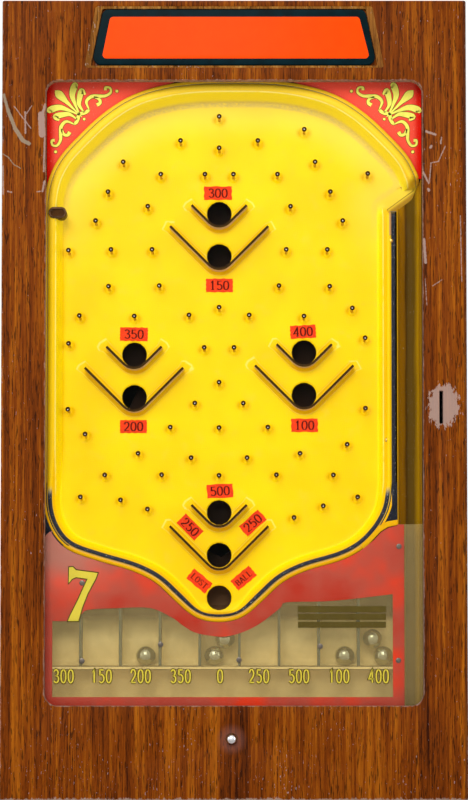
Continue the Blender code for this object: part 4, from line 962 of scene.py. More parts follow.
# rings of points: (how much wider than the hole, sides), and (radius round a pin, sides)
HOLE_RINGS = ((0.35, 48), (0.8, 48), (1.4, 36))
PIN_RINGS = ((0.7, 6), (1.9, 12), (2.5, 14), (3.1, 16), (3.7, 16), (4.6, 16), (6.0, 16))
FENCE_OFFSETS = (-4.3, -3.6, -3.0, -2.4, -1.2, 0.0, 1.2, 2.4, 3.0, 3.6, 4.3)
FLOOR_SPACING = 3.0


def within(outline, point):
    odd = False
    for a, b in zip(outline, outline[1:] + outline[:1]):
        if (a.y > point[1]) != (b.y > point[1]):
            if point[0] < a.x + (point[1] - a.y) * (b.x - a.x) / (b.y - a.y):
                odd = not odd
    return odd


def ring_edges(start, count):
    return [(start + index, start + (index + 1) % count) for index in range(count)]


def tray_rim():
    """A row of points across the rim at each point of the crest, and all their insets."""
    rows, insets = [], []
    for index, (point, normal) in enumerate(zip(PATH, normals_right(PATH, True))):
        narrow, share = wall_share(point), exit_share(index)
        row = []
        for inside, rise in RIM_PROFILE:
            inside += broadened(point, inside)
            reach = inside * (narrow if inside > 0 else 1.0)
            spot = Vector(point) + normal * reach
            row.append((spot.x, FLOOR_Y - CREST_RISE * rise * share, spot.y))
            insets.append(inside)
        rows.append(row)
    return rows, insets


def floor_points(foot, edge):
    """The floor's points, the rim's foot first, and the edges that its mesh must keep."""
    points, edges = list(foot), ring_edges(0, len(foot))
    for hole in hole_places():
        edges += ring_edges(len(points), HOLE_SIDES)
        points += circle(hole, HOLE_RADIUS, HOLE_SIDES)
        for wider, sides in HOLE_RINGS:
            points += [p for p in circle(hole, HOLE_RADIUS + wider, sides)
                       if edge.gap(p) > 0.9 and within(foot, p)]
    for pin in pin_places():
        for radius, sides in PIN_RINGS:
            points += [p for p in circle(pin, radius, sides)
                       if edge.gap(p) > 1.0 and HOLES.gap(p) > HOLE_RADIUS + 1.8
                       and (radius < 4.7 or FENCES.gap(p) > 5)]
    for line in FENCE_LINES:
        for offset in FENCE_OFFSETS:
            points += [p for p in shifted(line, offset)
                       if HOLES.gap(p) > HOLE_RADIUS + 1.8 and edge.gap(p) > 1.0
                       and FENCES.gap(p) > abs(offset) - 0.3 and PINS.gap(p) > 4.8]
    for row in range(int(320 / FLOOR_SPACING)):
        for column in range(int(240 / FLOOR_SPACING)):
            p = (-121 + FLOOR_SPACING * (column + 0.5 * (row % 2)),
                 118 + FLOOR_SPACING * row * 0.98)
            if (PINS.gap(p) > 6.8 and HOLES.gap(p) > HOLE_RADIUS + 2.6
                    and FENCES.gap(p) > 5.2 and edge.gap(p) > 1.6 and within(foot, p)):
                points.append(p)
    return points, edges


def floor_dip(point):
    """How far the floor lies back round a pin, along a fence and at a hole's rim."""
    dip = 0.85 * (1 - smoothstep(PINS.gap(point), 1.9, 3.9))
    dip = max(dip, 0.7 * (1 - smoothstep(FENCES.gap(point), 2.3, 3.7)))
    return dip + 0.9 * (1 - smoothstep(HOLES.gap(point), HOLE_RADIUS - 0.3, HOLE_RADIUS + 1.0))


def mark_tray(mesh, points, insets):
    """The attributes that the yellow enamel's patterns follow."""
    exits = [float(EXIT_FIRST <= index <= EXIT_LAST)
             for index in range(len(PATH)) for _ in RIM_PROFILE]
    marks = {"inset": insets, "exit": exits + [0.0] * (len(points) - len(exits)),
             "lower": [smoothstep(z, 200.0, 193.0) for _, _, z in points],
             # channel: the dips along the fences, where the enamel has painted shade and a painted
             # highlight at their edge
             "channel": [1 - smoothstep(FENCES.gap((x, z)), 2.3, 3.6) for x, _, z in points],
             "wing": [], "under": []}
    for x, _, z in points:
        # wing: where the enamel has painted shade and painted reflection at each pin's sides
        pin, _, gap = PINS.find((x, z))
        side = abs(x - pin[0]) / max(gap, 0.01)
        marks["wing"].append(
            side ** 3 * smoothstep(gap, 1.0, 2.4) * (1 - smoothstep(gap, 3.6, 6.0)))
        # under: where the enamel has painted shade below each hole, inside the fence's bow
        hole, _, gap = HOLES.find((x, z))
        low = smoothstep(hole[1] - z, 6.0, 10.0) * (1 - smoothstep(gap, 11.5, 13.5))
        marks["under"].append(low * (1 - smoothstep(abs(x - hole[0]), 6.0, 11.0)))
    for key, numbers in marks.items():
        mesh.attributes.new(key, "FLOAT", "POINT").data.foreach_set("value", numbers)


def make_tray():
    rows, insets = tray_rim()
    points = [point for row in rows for point in row]
    wide, count = len(RIM_PROFILE), len(PATH)
    faces = []
    for index in range(count):
        a, b = index * wide, (index + 1) % count * wide
        faces += [[a + i, b + i, b + i + 1, a + i + 1] for i in range(wide - 1)]
    foot = [Vector((row[-1][0], row[-1][2])) for row in rows]
    edge = Near(foot)
    inputs, edges = floor_points(foot, edge)
    verts, _, triangles, origins = geometry.delaunay_2d_cdt(
        [Vector(point) for point in inputs], edges, [], 0, 0.0001)[:4]
    target = []
    for (x, z), sources in zip(verts, origins):
        on_rim = [source for source in sources if source < count]
        if on_rim:
            target.append((on_rim[0] + 1) * wide - 1)
            continue
        target.append(len(points))
        fade = smoothstep(edge.gap((x, z)), 0.2, 3.0)
        points.append((x, FLOOR_Y + floor_dip((x, z)) * fade, z))
        insets.append(max(6.6, CREST.gap((x, z))))
    for triangle in triangles:
        centre = sum((verts[index] for index in triangle), Vector((0, 0))) / 3
        if HOLES.gap(centre) >= HOLE_RADIUS * 0.985 and within(foot, centre):
            faces.append([target[index] for index in triangle])
    shape = Shape()
    shape.take(points, faces)
    tray = shape.make("playfield_tray_sheet", "yellow_enamel", slot="yellow_enamel",
                      replaces=("playfield_tray",), sharp=60)
    mark_tray(tray.data, points, insets)
    thicken(tray, 0.9)
    make_tray_corners()


def make_tray_corners():
    """Flat black ledges of the pressing outside the lip's ends, and the ledge's yellow edge."""
    high = 203.0
    for name, side, low, edge, foot in (
            ("left", -1, 162.0, -121.6, [(-121.6, 162.0)]),
            ("right", 1, 166.0, 105.2, [(105.2, 176.6), (97.5, 175.4), (92.0, 172.0)])):
        curve = [(z, x) for x, z in PATH if (x - FIELD_X) * side > 60 and low - 0.5 <= z < high]
        inner = [(x + side * 0.9, z - 0.6) for z, x in sorted(curve)]
        shape = Shape()
        shape.prism(inner + [(edge, high)] + foot, CREST_Y + 1.5, CREST_Y + 2.4)
        shape.make(f"tray_ledge_{name}", "black", slot="yellow_enamel", sharp=30)
    ledge = Shape()
    ledge.prism([(81.0, 161.5), (87.0, 168.6), (92.5, 174.2), (98.0, 177.2), (105.2, 178.4),
                 (105.2, 174.8), (98.6, 173.4), (94.0, 170.6), (89.0, 165.2), (83.0, 158.8)],
                CREST_Y + 0.6, CREST_Y + 2.0)
    ledge.make("tray_ledge_edge", "orange", slot="yellow_enamel", bevel=0.5)


def make_pins():
    shape, heads, spots = Shape(), Shape(), Shape()
    head = ((1.5, 0.9), (1.4, 1.45), (1.0, 1.6), (0.5, 1.45), (0.15, 0.95), (0, 0.3))
    profile = [(0.3, 0.9)] + [(-PIN_HIGH + along, radius) for along, radius in head]
    for across, up in pin_places():
        shape.lathe(profile[:2], (across, FLOOR_Y, up), "Y", 12, -PIN_LEAN)
        heads.lathe(profile[1:], (across, FLOOR_Y, up), "Y", 16, -PIN_LEAN)
        # glint: a small steel disc in front of each head, a little below its middle: a painted
        # highlight
        glint = up + (PIN_HIGH + 0.03) * PIN_LEAN - 0.45
        spots.lathe(((0.2, 0.38), (0.0, 0.38), (-0.06, 0.2)),
                    (across, FLOOR_Y - PIN_HIGH - 0.1, glint), "Y", 10)
    shape.make("playfield_pins", "pin_shank", slot="dark_steel")
    heads.make("pin_heads", "pin_steel", slot="dark_steel")
    spots.make("pin_glints", "steel", slot="dark_steel")
    nails, rivet = Shape(), Shape()
    nails.lathe(((0.6, 1.5), (-0.2, 1.5), (-0.8, 1.1), (-1.1, 0.4)),
                (-117.2, CREST_Y + 2.2, 264.6), "Y", 16)
    nails.lathe(((0.8, 1.6), (-0.4, 1.6), (-1.0, 1.1), (-1.2, 0.4)),
                (98.4, CREST_Y + 2.4, 229.6), "Y", 16)
    rivet.lathe(((0.6, 1.5), (-0.3, 1.5), (-0.8, 1.1), (-1.0, 0.4)),
                (100.8, CREST_Y + 1.4, 358), "Y", 16)
    nails.make("rim_nails", "brass", slot="brass")
    rivet.make("strip_rivet", "brass", slot="brass")


def make_fences():
    low = FLOOR_Y - 8.3
    for name, across, up, half in fences():
        path = fence_path(across, up, half, 2.0)
        shape = Shape()
        shape.ribbon(path, [0.75] * len(path), low, FLOOR_Y + 0.6)
        shape.make(f"{name}_strip", "fence_steel", slot="dark_steel", replaces=(name,),
                   bevel=0.15)
    loop_low, loop_high = box_mm("rebound_loop")
    outline = box_outline(-119.4, -107.8, loop_low.z, loop_high.z, 3.55, 10)
    inner = box_outline(-118.0, -109.2, loop_low.z + 1.4, loop_high.z - 1.4, 2.15, 10)
    plate("rebound_loop_spring", [outline, inner], CREST_Y - 0.9, FLOOR_Y - 6, 0.2, "dark_steel",
          replaces=("rebound_loop",))
    # a brown plug filling the loop's hollow: painted shade for its inside
    hollow_shade = Shape()
    hollow_shade.prism(inner, CREST_Y - 0.3, FLOOR_Y - 6)
    hollow_shade.make("rebound_loop_shade", "loop_shade", slot="dark_steel", bevel=0.3)


# ---------------------------------------------------------------- lettering
GLYPHS = {
    "0": (("c", (0.5, 1), (0.14, 0.86), (0.02, 0.5), (0.14, 0.14), (0.5, 0), (0.86, 0.14),
           (0.98, 0.5), (0.86, 0.86), (0.5, 1)),),
    "1": (("l", (0.2, 0.8), (0.5, 0.97), (0.5, 0.0)),),
    "2": (("c", (0.06, 0.74), (0.22, 0.95), (0.58, 1), (0.9, 0.8), (0.82, 0.52), (0.4, 0.24),
           (0.05, 0.02)), ("l", (0.05, 0.02), (0.98, 0.02))),
    "3": (("c", (0.08, 0.84), (0.4, 1), (0.84, 0.88), (0.82, 0.64), (0.42, 0.53)),
          ("c", (0.42, 0.53), (0.94, 0.42), (0.93, 0.14), (0.5, 0), (0.05, 0.14))),
    "4": (("l", (0.72, 0), (0.72, 1), (0.02, 0.3), (1, 0.3)),),
    "5": (("l", (0.9, 0.98), (0.2, 0.98), (0.13, 0.53)),
          ("c", (0.13, 0.53), (0.5, 0.63), (0.94, 0.45), (0.93, 0.16), (0.5, 0), (0.05, 0.12))),
    "L": (("l", (0.15, 1), (0.15, 0), (0.95, 0)),),
    "O": (("c", (0.5, 1), (0.12, 0.86), (0.02, 0.5), (0.12, 0.14), (0.5, 0), (0.88, 0.14),
           (0.98, 0.5), (0.88, 0.86), (0.5, 1)),),
    "S": (("c", (0.9, 0.82), (0.56, 1), (0.16, 0.9), (0.12, 0.68), (0.5, 0.53), (0.9, 0.34),
           (0.86, 0.1), (0.46, 0), (0.08, 0.17)),),
    "T": (("l", (0, 0.98), (1, 0.98)), ("l", (0.5, 1), (0.5, 0))),
    "B": (("l", (0.14, 0), (0.14, 1)),
          ("c", (0.14, 0.98), (0.7, 0.96), (0.86, 0.77), (0.66, 0.56), (0.14, 0.53)),
          ("c", (0.14, 0.53), (0.76, 0.5), (0.97, 0.27), (0.76, 0.04), (0.14, 0.02))),
    "A": (("l", (0, 0), (0.5, 1), (1, 0)), ("l", (0.2, 0.34), (0.8, 0.34))),
}
SERIFS = {
    "1": ((0.22, 0.0, 0.78, 0.0),), "4": ((0.5, 0.0, 0.94, 0.0),),
    "L": ((-0.02, 1.0, 0.36, 1.0), (-0.02, 0.0, 0.3, 0.0)),
    "T": ((0.3, 0.0, 0.7, 0.0), (0.0, 0.98, 0.0, 0.82), (1.0, 0.98, 1.0, 0.82)),
    "A": ((-0.14, 0.0, 0.18, 0.0), (0.78, 0.0, 1.14, 0.0)),
    "B": ((0.0, 0.0, 0.2, 0.0), (0.0, 1.0, 0.2, 1.0)),
}


def write(shape, text, centre, size, gap, thick, thin, front, back, turn=0.0, serifs=False):
    """Plain strokes for each letter; thick is an upright stroke's width and thin a level one's."""
    wide, high = size
    total = len(text) * wide + (len(text) - 1) * gap
    spin = Matrix.Rotation(math.radians(turn), 2)

    def placed(x, z):
        return tuple(Vector(centre) + spin @ Vector((x - total / 2, (z - 0.5) * high)))

    for index, letter in enumerate(text):
        left = index * (wide + gap)
        for stroke in GLYPHS[letter]:
            raw = [(left + x * wide, z) for x, z in stroke[1:]]
            flat = [(x, z * high) for x, z in raw]
            line = smooth_curve(flat, 5) if stroke[0] == "c" else resampled_corners(flat)
            halves = []
            for position in range(len(line)):
                before = Vector(line[max(position - 1, 0)])
                after = Vector(line[min(position + 1, len(line) - 1)])
                run = (after - before).normalized()
                halves.append((thin + (thick - thin) * abs(run.y)) / 2)
            path = [placed(x, z / high) for x, z in line]
            shape.ribbon(path, halves, front, back)
        if serifs:
            for x0, z0, x1, z1 in SERIFS.get(letter, ()):
                ends = [placed(left + x0 * wide, z0), placed(left + x1 * wide, z1)]
                shape.ribbon(ends, [thin * 0.55] * 2, front, back)


def resampled_corners(points):
    """A broken line with a short straight piece at each side of every corner."""
    made = [points[0]]
    for a, b in zip(points, points[1:]):
        a, b = Vector(a), Vector(b)
        run = b - a
        made += [tuple(a + run * share) for share in (0.06, 0.5, 0.94)]
        made.append(tuple(b))
    return made


# name, middle's x and z, width, height, turn in degrees, text
STICKERS = (
    ("300", -10.6, 391.4, 18.0, 8.8, 0, "300"), ("150", -9.6, 331.2, 17.4, 8.8, 0, "150"),
    ("350", -65.0, 299.4, 18.0, 8.8, -1, "350"), ("200", -65.2, 239.4, 17.4, 8.4, 0, "200"),
    ("400", 44.6, 301.0, 16.6, 8.4, 3, "400"), ("100", 45.5, 240.2, 17.2, 8.6, 0, "100"),
    ("500", -9.2, 197.6, 16.8, 8.8, 3, "500"), ("250_left", -28.5, 174.3, 16.5, 8.6, -45, "250"),
    ("250_right", 12.0, 176.9, 16.5, 8.6, 41, "250"),
    ("lost", -22.4, 139.4, 15.5, 8.2, -40, "LOST"),
    ("ball", 6.1, 141.3, 15.5, 8.2, 40, "BALL"),
)
TORN_STEPS = 9
# a letter's width and height, the gap, and the thick and thin strokes
NUMBER_TYPE = ((3.2, 5.6), 1.15, 1.0, 0.38)
WORD_TYPE = ((2.35, 3.7), 0.75, 0.65, 0.28)


def make_stickers():
    for index, (name, x, z, wide, high, turn, text) in enumerate(STICKERS):
        spin = Matrix.Rotation(math.radians(turn), 2)
        outline = []
        for side in range(4):
            for step in range(TORN_STEPS):
                t = step / TORN_STEPS - 0.5
                a, b = ((t, -0.5), (0.5, t), (-t, 0.5), (-0.5, -t))[side]
                wave = 0.22 * math.sin(37 * (step + 1) * (index + 2) + 5 * side) if step else 0.0
                ragged = Vector((wave, 0)) if side in (1, 3) else Vector((0, wave))
                spot = spin @ (Vector((a * wide, b * high)) + ragged)
                outline.append((x + spot.x, z + spot.y))
        top = FLOOR_Y - 0.28
        card, ink = Shape(), Shape()
        card.prism(outline, top, FLOOR_Y + 0.05)
        card.make(f"sticker_{name}", "sticker", sharp=30)
        size, gap, thick, thin = NUMBER_TYPE if text.isdigit() else WORD_TYPE
        write(ink, text, (x, z), size, gap, thick, thin, top - 0.06, top + 0.1, turn, True)
        ink.make(f"sticker_{name}_ink", "ink", smooth=False)


# ---------------------------------------------------------------- corner cards
# (points along and across the corner's diagonal, half width at each point)
PLUMES = (
    (((-0.2, 0), (6, 0), (13, 0), (20.4, 0), (24, 0)), (0.35, 0.5, 1.1, 2.3, 0.1)),
    (((1.8, 0.3), (8, 2.6), (14.1, 5.8), (17.1, 11.2), (15.7, 12.3)), (0.4, 0.8, 1.6, 1.9, 0.5)),
    (((0.5, 3.2), (5, 3.9), (7.8, 5.6), (11.5, 11.6), (8.3, 11.9)), (0.4, 0.8, 1.3, 1.7, 0.5)),
    (((-0.7, 6.7), (4.4, 9), (4.6, 13.6), (1.6, 17.1), (-1.5, 20.5), (-2.3, 24.5), (0.1, 26.2),
      (2.2, 24.5), (1.1, 23.1)), (0.3, 0.8, 1.0, 1.0, 0.8, 0.7, 0.6, 0.7, 0.9)),
    (((3.2, 14.7), (-0.2, 16.1), (-2.3, 14.8), (-1.9, 12.4)), (0.5, 0.8, 0.9, 1.1)),
    (((2.6, 0.2), (0.9, 2.0), (-0.2, 3.8), (-0.4, 5.4), (-0.7, 6.9)), (0.6, 1.1, 0.9, 1.0, 0.4)),
)
DOTS = ((-4.6, 27.9, 0.95), (-2.5, 0.1, 0.9))


def make_cards():
    inner = ARCH_RADIUS + 0.3
    for side, sign in (("left", -1), ("right", 1)):
        low, high = box_mm(f"corner_card_{side}")
        bottom = 391.0 if sign < 0 else 398.5
        first = math.degrees(math.asin((bottom - ARCH_Z) / inner))
        last = math.degrees(math.asin((high.z - ARCH_Z) / inner))
        edge = max(abs(low.x), abs(high.x))
        outline = arc((0, ARCH_Z), inner, first, last, 32) + [(edge, high.z), (edge, bottom)]
        if sign < 0:
            outline = [(-x, z) for x, z in reversed(outline)]
        plate(f"corner_card_{side}_face", [outline], low.y, high.y, 0.05, "red_card",
              replaces=(f"corner_card_{side}",))
        gold, line = Shape(), Shape()
        gold_front, line_front, back = low.y - 0.24, low.y - 0.12, low.y + 0.05
        for mirror in (1, -1):
            for path, widths in PLUMES:
                if mirror < 0 and all(b == 0 for _, b in path):
                    continue
                spots = [card_place(a, b * mirror, sign) for a, b in path]
                curve = smooth_curve(spots, 8)
                spans = smooth_curve([(w, 0) for w in widths], 8)
                halves = [max(w[0], 0.08) * 1.12 for w in spans]
                gold.ribbon(curve, halves, gold_front, back)
                line.ribbon(curve, [h + 0.34 for h in halves], line_front, back)
            for a, b, radius in DOTS:
                if mirror < 0 and abs(b) < 1:
                    continue
                x, z = card_place(a, b * mirror, sign)
                gold.prism(circle((x, z), radius, 24), gold_front, back)
                line.prism(circle((x, z), radius + 0.3, 24), line_front, back)
        gold.make(f"corner_scroll_{side}", "gold", smooth=False)
        line.make(f"corner_scroll_{side}_line", "scroll_line", smooth=False)


def card_place(a, b, sign):
    """From the scroll's own frame, along and across the corner's diagonal, to (x, z)."""
    root = math.sqrt(0.5)
    x = -98.7 - (a - b) * root
    z = 439.0 + (a + b) * root
    return (-x if sign > 0 else x), z


# ---------------------------------------------------------------- lane, channels, balls
TROUGH_Y = -63.0
TROUGH_RADIUS = 7.6
TROUGH_FOOT = 64.0
EXIT_RIGHT = 115.7


def make_lane():
    """The ball's trough, cut off under the exit's slope at its top."""
    left, right, front = LANE_X - TROUGH_RADIUS, LANE_X + TROUGH_RADIUS, LANE_LOW.y + 0.2
    profile = [(left, front), (left, TROUGH_Y - 3.0)]
    profile += arc((LANE_X, TROUGH_Y), TROUGH_RADIUS, 180, 0, 28)
    profile += [(right, TROUGH_Y - 3.0), (right, front)]
    slope = (EXIT_TOP - EXIT_BOTTOM) / (EXIT_RIGHT - RIGHT_EDGE)
    shape = Shape()
    rows = 14
    columns = []
    for x, y in profile:
        top = EXIT_BOTTOM - 6.0 + slope * (x - RIGHT_EDGE)
        top += 7.0 * smoothstep(x, LANE_X + 2, right)
        bottom = TROUGH_FOOT if x < LANE_X - 3.5 else LANE_LOW.z + 0.2
        columns.append([(x, y, bottom + (top - bottom) * row / rows) for row in range(rows + 1)])
    shape.grid(columns)
    lane = shape.make("ball_lane_trough", "lane_brass", slot="lane_brass", replaces=("ball_lane",))
    thicken(lane, 0.5, 0)


def lip_height(across):
    """The height of the tray's lower lip at a distance from the field's middle."""
    lip = smooth_curve([(0, LIP_BOTTOM)] + list(LIP), 4)
    for (near, low), (far, high) in zip(lip, lip[1:]):
        if near <= across <= far:
            return low + (high - low) * (across - near) / (far - near)
    return lip[-1][1]


# the channels' rounded corners, and where and how far their back leans away at its top
CHANNEL_FILLET = 5.0
BACK_BEND = 101.5
BACK_TOP = 124.0
BACK_LEAN = 14.4


def make_channels():
    """Nine channels with rounded backs and feet, and the dividers between them."""
    low, high = PAN_LOW, PAN_HIGH
    walls = [low.x] + DIVIDERS + [high.x]
    heights = [low.z + h for h in (0, 0.4, 0.9, 1.6, 2.4, 3.3, 4.3, 5.5)]
    heights += [95.0, 100.5, 103.0, 108.0, 114.0, 120.0, BACK_TOP]
    shape = Shape()
    for left, right in zip(walls, walls[1:]):
        across = [left + (right - left) * share
                  for share in (0, 0.015, 0.035, 0.065, 0.1, 0.15, 0.21, 0.3, 0.4, 0.5)]
        across += [left + right - x for x in reversed(across[:-1])]
        rows = []
        for z in heights:
            lean = BACK_LEAN * max(z - BACK_BEND, 0.0) / (BACK_TOP - BACK_BEND)
            foot = max(0.0, CHANNEL_FILLET - (z - low.z))
            row = []
            for x in across:
                wall = max(0.0, CHANNEL_FILLET - min(x - left, right - x))
                flat = math.sqrt(max(CHANNEL_FILLET ** 2 - wall ** 2 - foot ** 2, 0.0))
                row.append((x, FLOOR_Y + lean + flat - CHANNEL_FILLET, z))
            rows.append(row)
        shape.grid(rows)
    pan = shape.make("collector_channels", "tan_enamel", slot="tan_enamel",
                     replaces=("collector_pan",), sharp=80)
    thicken(pan, 0.6)
    dividers = Shape()
    for x in DIVIDERS:
        top = lip_height(abs(x - FIELD_X)) - 9
        dividers.block((x - 0.85, SHEET_BACK + 0.5, low.z), (x + 0.85, FLOOR_Y + 0.4, top))
    dividers.make("collector_dividers", "divider_grey", slot="tan_enamel", bevel=0.2)


def make_balls():
    for node in sorted(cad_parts):
        if not node.startswith("ball_") or node in ("ball_lane", "ball_guide_board"):
            continue
        low, high = box_mm(node)
        shape = Shape()
        shape.sphere((low + high) / 2, (high.x - low.x) / 2)
        shape.make(f"{node}_round", "ball_steel", body=node, slot="ball_steel", replaces=(node,))


# ---------------------------------------------------------------- printed sheet
LEFT_TOP = 170.9
LEFT_CORNER = 6
# the channels' numbers, with their middles' x
CHANNEL_NUMBERS = (("300", -108.8), ("150", -84.5), ("200", -59.6), ("350", -34.1), ("0", -8.9),
                   ("250", 15.9), ("500", 41.4), ("100", 67.0), ("400", 92.2))
NUMBERS_Z = 78.2
NUMBER_LINE = 1.0
# the lower edge of the red print above the channels, and the large numeral's outline
WAVE = ((-116.0, 113.4), (-105.3, 113.6), (-97.7, 117.5), (-92.9, 120.6), (-74, 121.6),
        (-53.7, 121.7), (-39.6, 115.6), (-32.2, 110.2), (-23.9, 105.7), (-9.3, 103.4),
        (-0.7, 104.4), (8.9, 107.6), (17.9, 112.7), (29.4, 121.7), (33.2, 125.3),
        (55.5, 125.9), (74.7, 127.4), (101.4, 130.6))
SEVEN = ((-105.4, 147.6), (-103, 147.9), (-101, 145.8), (-87.2, 144), (-88.4, 140.5),
         (-93.5, 131), (-97, 122), (-99.4, 113.4), (-106, 113.4), (-104.5, 117), (-99.5, 127),
         (-95.5, 136), (-93.5, 140.3), (-101, 141.4), (-103.6, 140.2), (-105.6, 137.6))
BARS_Z = (120.9, 116.0, 111.0)
BAR_HALF = 1.95
SHEET_NAILS = ((-97.1, 137.6), (-97.0, 87.9), (-46.9, 98.4), (3.2, 88.5), (55.0, 97.2),
               (104.9, 88.2), (105.4, 161.0))


def make_sheet():
    """The clear sheet, cut along the tray's lip, with its print and nails."""
    low, high = SHEET_LOW, SHEET_HIGH
    lip = [(x, z) for x, z in shifted(PATH, -4.5, closed=True)[:EXIT_FIRST]
           if z < LEFT_TOP and -121 < x < 81]
    ledge = [(104.3, 174.4), (98.8, 173.0), (94.2, 170.2), (89.2, 164.8)]
    corner_x = low.x + LEFT_CORNER
    lip = ledge + lip + [(corner_x, LEFT_TOP)]
    corner = arc((corner_x, LEFT_TOP - LEFT_CORNER), LEFT_CORNER, 90, 180, 6)
    outline = [(low.x, low.z), (high.x, low.z), (high.x, 175.4), (104.3, 175.2)] + lip + corner
    plate("score_sheet_clear", [outline], SHEET_FRONT + 0.15, SHEET_BACK, 0.08, "celluloid",
          replaces=("score_sheet",))
    window = [(WAVE[0][0], 64.9)] + smooth_curve(WAVE, 5) + [(WAVE[-1][0], 64.9)]
    red = [(low.x, 59.2), (108.7, 59.2), (108.7, 175.1), (104.3, 175.1)] + lip + corner
    plate("score_sheet_red", [red, window], SHEET_FRONT + 0.02, SHEET_FRONT + 0.14, 0.02,
          "sheet_red")
    top, back = SHEET_FRONT - 0.06, SHEET_FRONT + 0.05
    lines, fills, bars, nails = Shape(), Shape(), Shape(), Shape()
    for text, x in CHANNEL_NUMBERS:
        for shape, wider, front in ((lines, NUMBER_LINE, top), (fills, 0.0, top - 0.06)):
            write(shape, text, (x, NUMBERS_Z), (3.1, 8.3), 1.55, 0.95 + wider, 0.9 + wider,
                  front, back)
    lines.prism(shifted(SEVEN[::-1], 0.7, True), top, back)
    fills.prism(SEVEN, top - 0.06, back)
    lines.make("sheet_number_lines", "print_dark", smooth=False)
    fills.make("sheet_numbers", "print_yellow", smooth=False)
    for z in BARS_Z:
        bars.block((40.8, top, z - BAR_HALF), (97.0, back, z + BAR_HALF))
    bars.make("sheet_bars", "print_dark")
    for x, z in SHEET_NAILS:
        nails.lathe(((0.2, 1.75), (-0.1, 1.75), (-0.2, 1.3), (-0.26, 0.5)),
                    (x, SHEET_FRONT, z), "Y", 18)
    nails.make("sheet_nails", "nail", slot="steel")


# ---------------------------------------------------------------- controls and fittings
def make_button():
    low, high = box_mm("release_button")
    middle = (low + high) / 2
    shape = Shape()
    shape.lathe(((0.02, 0.5), (0.15, 1.3), (0.5, 2.1), (1.1, 2.75), (1.9, 3.15), (3.0, 3.3),
                 (6.0, 3.3), (6.05, 1.8), (high.y - low.y - 0.5, 1.8)),
                (middle.x, low.y, middle.z), "Y", 32)
    shape.make("release_button_dome", "chrome", body="button", slot="chrome",
               replaces=("release_button",))


def make_lever():
    low, high = box_mm("lever_knob")
    middle = (low + high) / 2
    long, radius = high.x - low.x, (high.z - low.z) / 2
    shape = Shape()
    shape.lathe(((0, 0.7 * radius), (0.6, 0.78 * radius), (0.35 * long, 0.84 * radius),
                 (0.7 * long, 0.98 * radius), (0.82 * long, radius), (0.92 * long, 0.92 * radius),
                 (0.98 * long, 0.68 * radius), (long, 0.3 * radius)),
                (low.x, middle.y, middle.z), "X", 32)
    shape.make("lever_knob_grip", "black_knob", body="lever", slot="black_knob",
               replaces=("lever_knob",))


def make_spring():
    """The coil under the kicker's arm, a copy of its mesh, shaded smooth."""
    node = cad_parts["lever_spring"]
    mesh = node.data.copy()
    mesh.transform(node.matrix_world)
    if "custom_normal" in mesh.attributes:
        mesh.attributes.remove(mesh.attributes["custom_normal"])
    mesh.shade_smooth()
    item = settle("lever_spring_coil", mesh, "steel", "cabinet", ("lever_spring",))
    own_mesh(item)


def make_screws():
    """Plain slotted screws in the hinges, and the lock's keyhole."""
    for part, body in (("frame", "cabinet"), ("door", "door")):
        heads, slots = Shape(), Shape()
        for place in ("upper", "lower"):
            low, high = box_mm(f"{place}_hinge_{part}_leaf")
            face = low.y + (1.2 if low.y > 80 else 1.6)
            x = low.x + 4 if part == "frame" else high.x - 4
            for z in (low.z + 7, (low.z + high.z) / 2, high.z - 7):
                heads.lathe(((-0.1, 2.0), (0.3, 2.0), (0.5, 1.4)), (x, face, z), "Y", 16)
                # each slot is a black bar on the head: painted shade for its depth
                slots.block((x - 1.6, face + 0.35, z - 0.25), (x + 1.6, face + 0.53, z + 0.25))
        heads.make(f"hinge_screws_{part}", "brass", body=body, slot="brass")
        slots.make(f"hinge_screw_slots_{part}", "hole_shade", body=body)
    low, high = box_mm("lock_barrel")
    x, _, z = (low + high) / 2
    # the keyhole is a black block on the barrel: painted shade for its depth
    key = Shape()
    key.block((x - 0.6, high.y - 0.3, z - 3.2), (x + 0.6, high.y + 0.02, z + 3.2))
    key.make("lock_keyhole", "hole_shade", body="lock")


# the finish of each CAD node that shows as it is
DRESSED = {
    "varnished_wood": ("left_side", "right_side"),
    "level_wood": ("top_board", "bottom_board", "back_top_rail", "back_bottom_rail"),
    "plain_wood": ("left_cleat", "right_cleat", "back_door"),
    "tan_enamel": ("return_trough", "release_gate"),
    "guide_enamel": ("ball_guide_board",),
    "steel": ("gate_rocker", "lever_shaft", "kicker", "flick_lever", "button_spring",
              "coin_trip", "upper_hinge_pin", "lower_hinge_pin", "lock_cam", "lock_strike"),
    "brass": ("lever_bushing", "button_guide", "rocker_bracket", "upper_hinge_frame_leaf",
              "lower_hinge_frame_leaf", "upper_hinge_door_leaf", "lower_hinge_door_leaf"),
    "chrome": ("lock_barrel",),
    "tinplate": ("coin_chute", "coin_box"),
}
EDGE_WIDTHS = {"varnished_wood": 0.7, "level_wood": 0.7, "plain_wood": 0.6, "coin_box": 0.15,
               "coin_chute": 0.15}
PLAIN_EDGE = 0.25


def dress_nodes():
    """The CAD nodes that show as they are: rounded edges and a finish."""
    for finish, nodes in DRESSED.items():
        for node in nodes:
            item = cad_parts[node]
            mesh = item.data
            if "custom_normal" in mesh.attributes:
                mesh.attributes.remove(mesh.attributes["custom_normal"])
            for polygon in mesh.polygons:
                polygon.use_smooth = True
            mesh.materials.clear()
            mesh.materials.append(FINISHES[finish].material)
            weld = item.modifiers.new("weld", "WELD")
            weld.merge_threshold = 0.01 * MM
            add_bevel(item, EDGE_WIDTHS.get(node, EDGE_WIDTHS.get(finish, PLAIN_EDGE)))


for make in (make_panel, make_title, make_glass, make_tray, make_pins, make_fences,
             make_stickers, make_cards, make_lane, make_channels, make_balls, make_sheet,
             make_button, make_lever, make_spring, make_screws, dress_nodes):
    make()


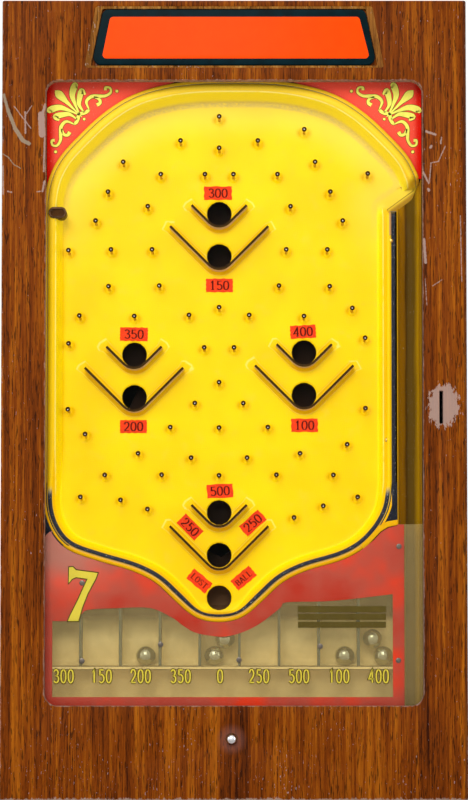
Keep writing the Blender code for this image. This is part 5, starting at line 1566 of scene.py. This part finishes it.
# ---------------------------------------------------------------- stage, light and camera
AMBIENT = 0.45
MIDDLE = (0, 0, 0.25)
# place in metres and power
LIGHTS = {"key": ((-0.3, -1.9, 1.25), 27), "fill_left": ((-1.9, -1.0, 0.7), 9),
          "fill_right": ((1.9, -1.0, 0.7), 9), "back": ((0.4, 1.9, 1.4), 14)}


def make_stage():
    mesh = bpy.data.meshes.new("floor")
    half = 3.0
    corners = [(x, z, 0) for x, z in box_outline(-half, half, -half, half)]
    mesh.from_pydata(corners, [], [(0, 1, 2, 3)])
    mesh.materials.append(Finish("floor", 0.9, Base_Color=(236, 236, 236)).material)
    linked("floor", mesh)


def make_lights():
    for name, (place, power) in LIGHTS.items():
        light = bpy.data.lights.new(name, "AREA")
        light.shape = "SQUARE"
        light.size = 1.2
        light.energy = power
        item = linked(name, light)
        item.location = place
        item.rotation_euler = (Vector(MIDDLE) - Vector(place)).to_track_quat("-Z", "Y").to_euler()


def make_world():
    """White where it is seen, directly, in a reflection or through glass, and dimmer as light."""
    world = bpy.data.worlds.new("studio")
    bpy.context.scene.world = world
    world.use_nodes = True
    tree = world.node_tree
    tree.nodes.clear()
    path = tree.nodes.new("ShaderNodeLightPath")
    seen = path.outputs["Is Camera Ray"]
    for ray in ("Is Glossy Ray", "Is Transmission Ray"):
        most = tree.nodes.new("ShaderNodeMath")
        most.operation = "MAXIMUM"
        tree.links.new(seen, most.inputs[0])
        tree.links.new(path.outputs[ray], most.inputs[1])
        seen = most.outputs[0]
    strength = tree.nodes.new("ShaderNodeMapRange")
    strength.inputs["To Min"].default_value = AMBIENT
    strength.inputs["To Max"].default_value = 1.0
    tree.links.new(seen, strength.inputs["Value"])
    background = tree.nodes.new("ShaderNodeBackground")
    background.inputs["Color"].default_value = (1, 1, 1, 1)
    tree.links.new(strength.outputs["Result"], background.inputs["Strength"])
    output = tree.nodes.new("ShaderNodeOutputWorld")
    tree.links.new(background.outputs[0], output.inputs[0])


# the camera stands this far from a view that is this tall, in millimetres
VIEW_DISTANCE = 1640
VIEW_HEIGHT = 508
SENSOR = 36


def make_camera():
    data = bpy.data.cameras.new("camera")
    data.sensor_width = SENSOR
    data.lens = SENSOR * VIEW_DISTANCE / VIEW_HEIGHT
    data.shift_x = -0.0157
    data.shift_y = 0.18
    data.clip_end = 20
    camera = linked("camera", data)
    camera.location = (0.008, -1.72, 0.09345)
    camera.rotation_euler = (math.radians(92.4), 0, 0)
    bpy.context.scene.camera = camera


make_stage()
make_world()
make_lights()
make_camera()
bpy.context.scene.view_settings.view_transform = "Standard"
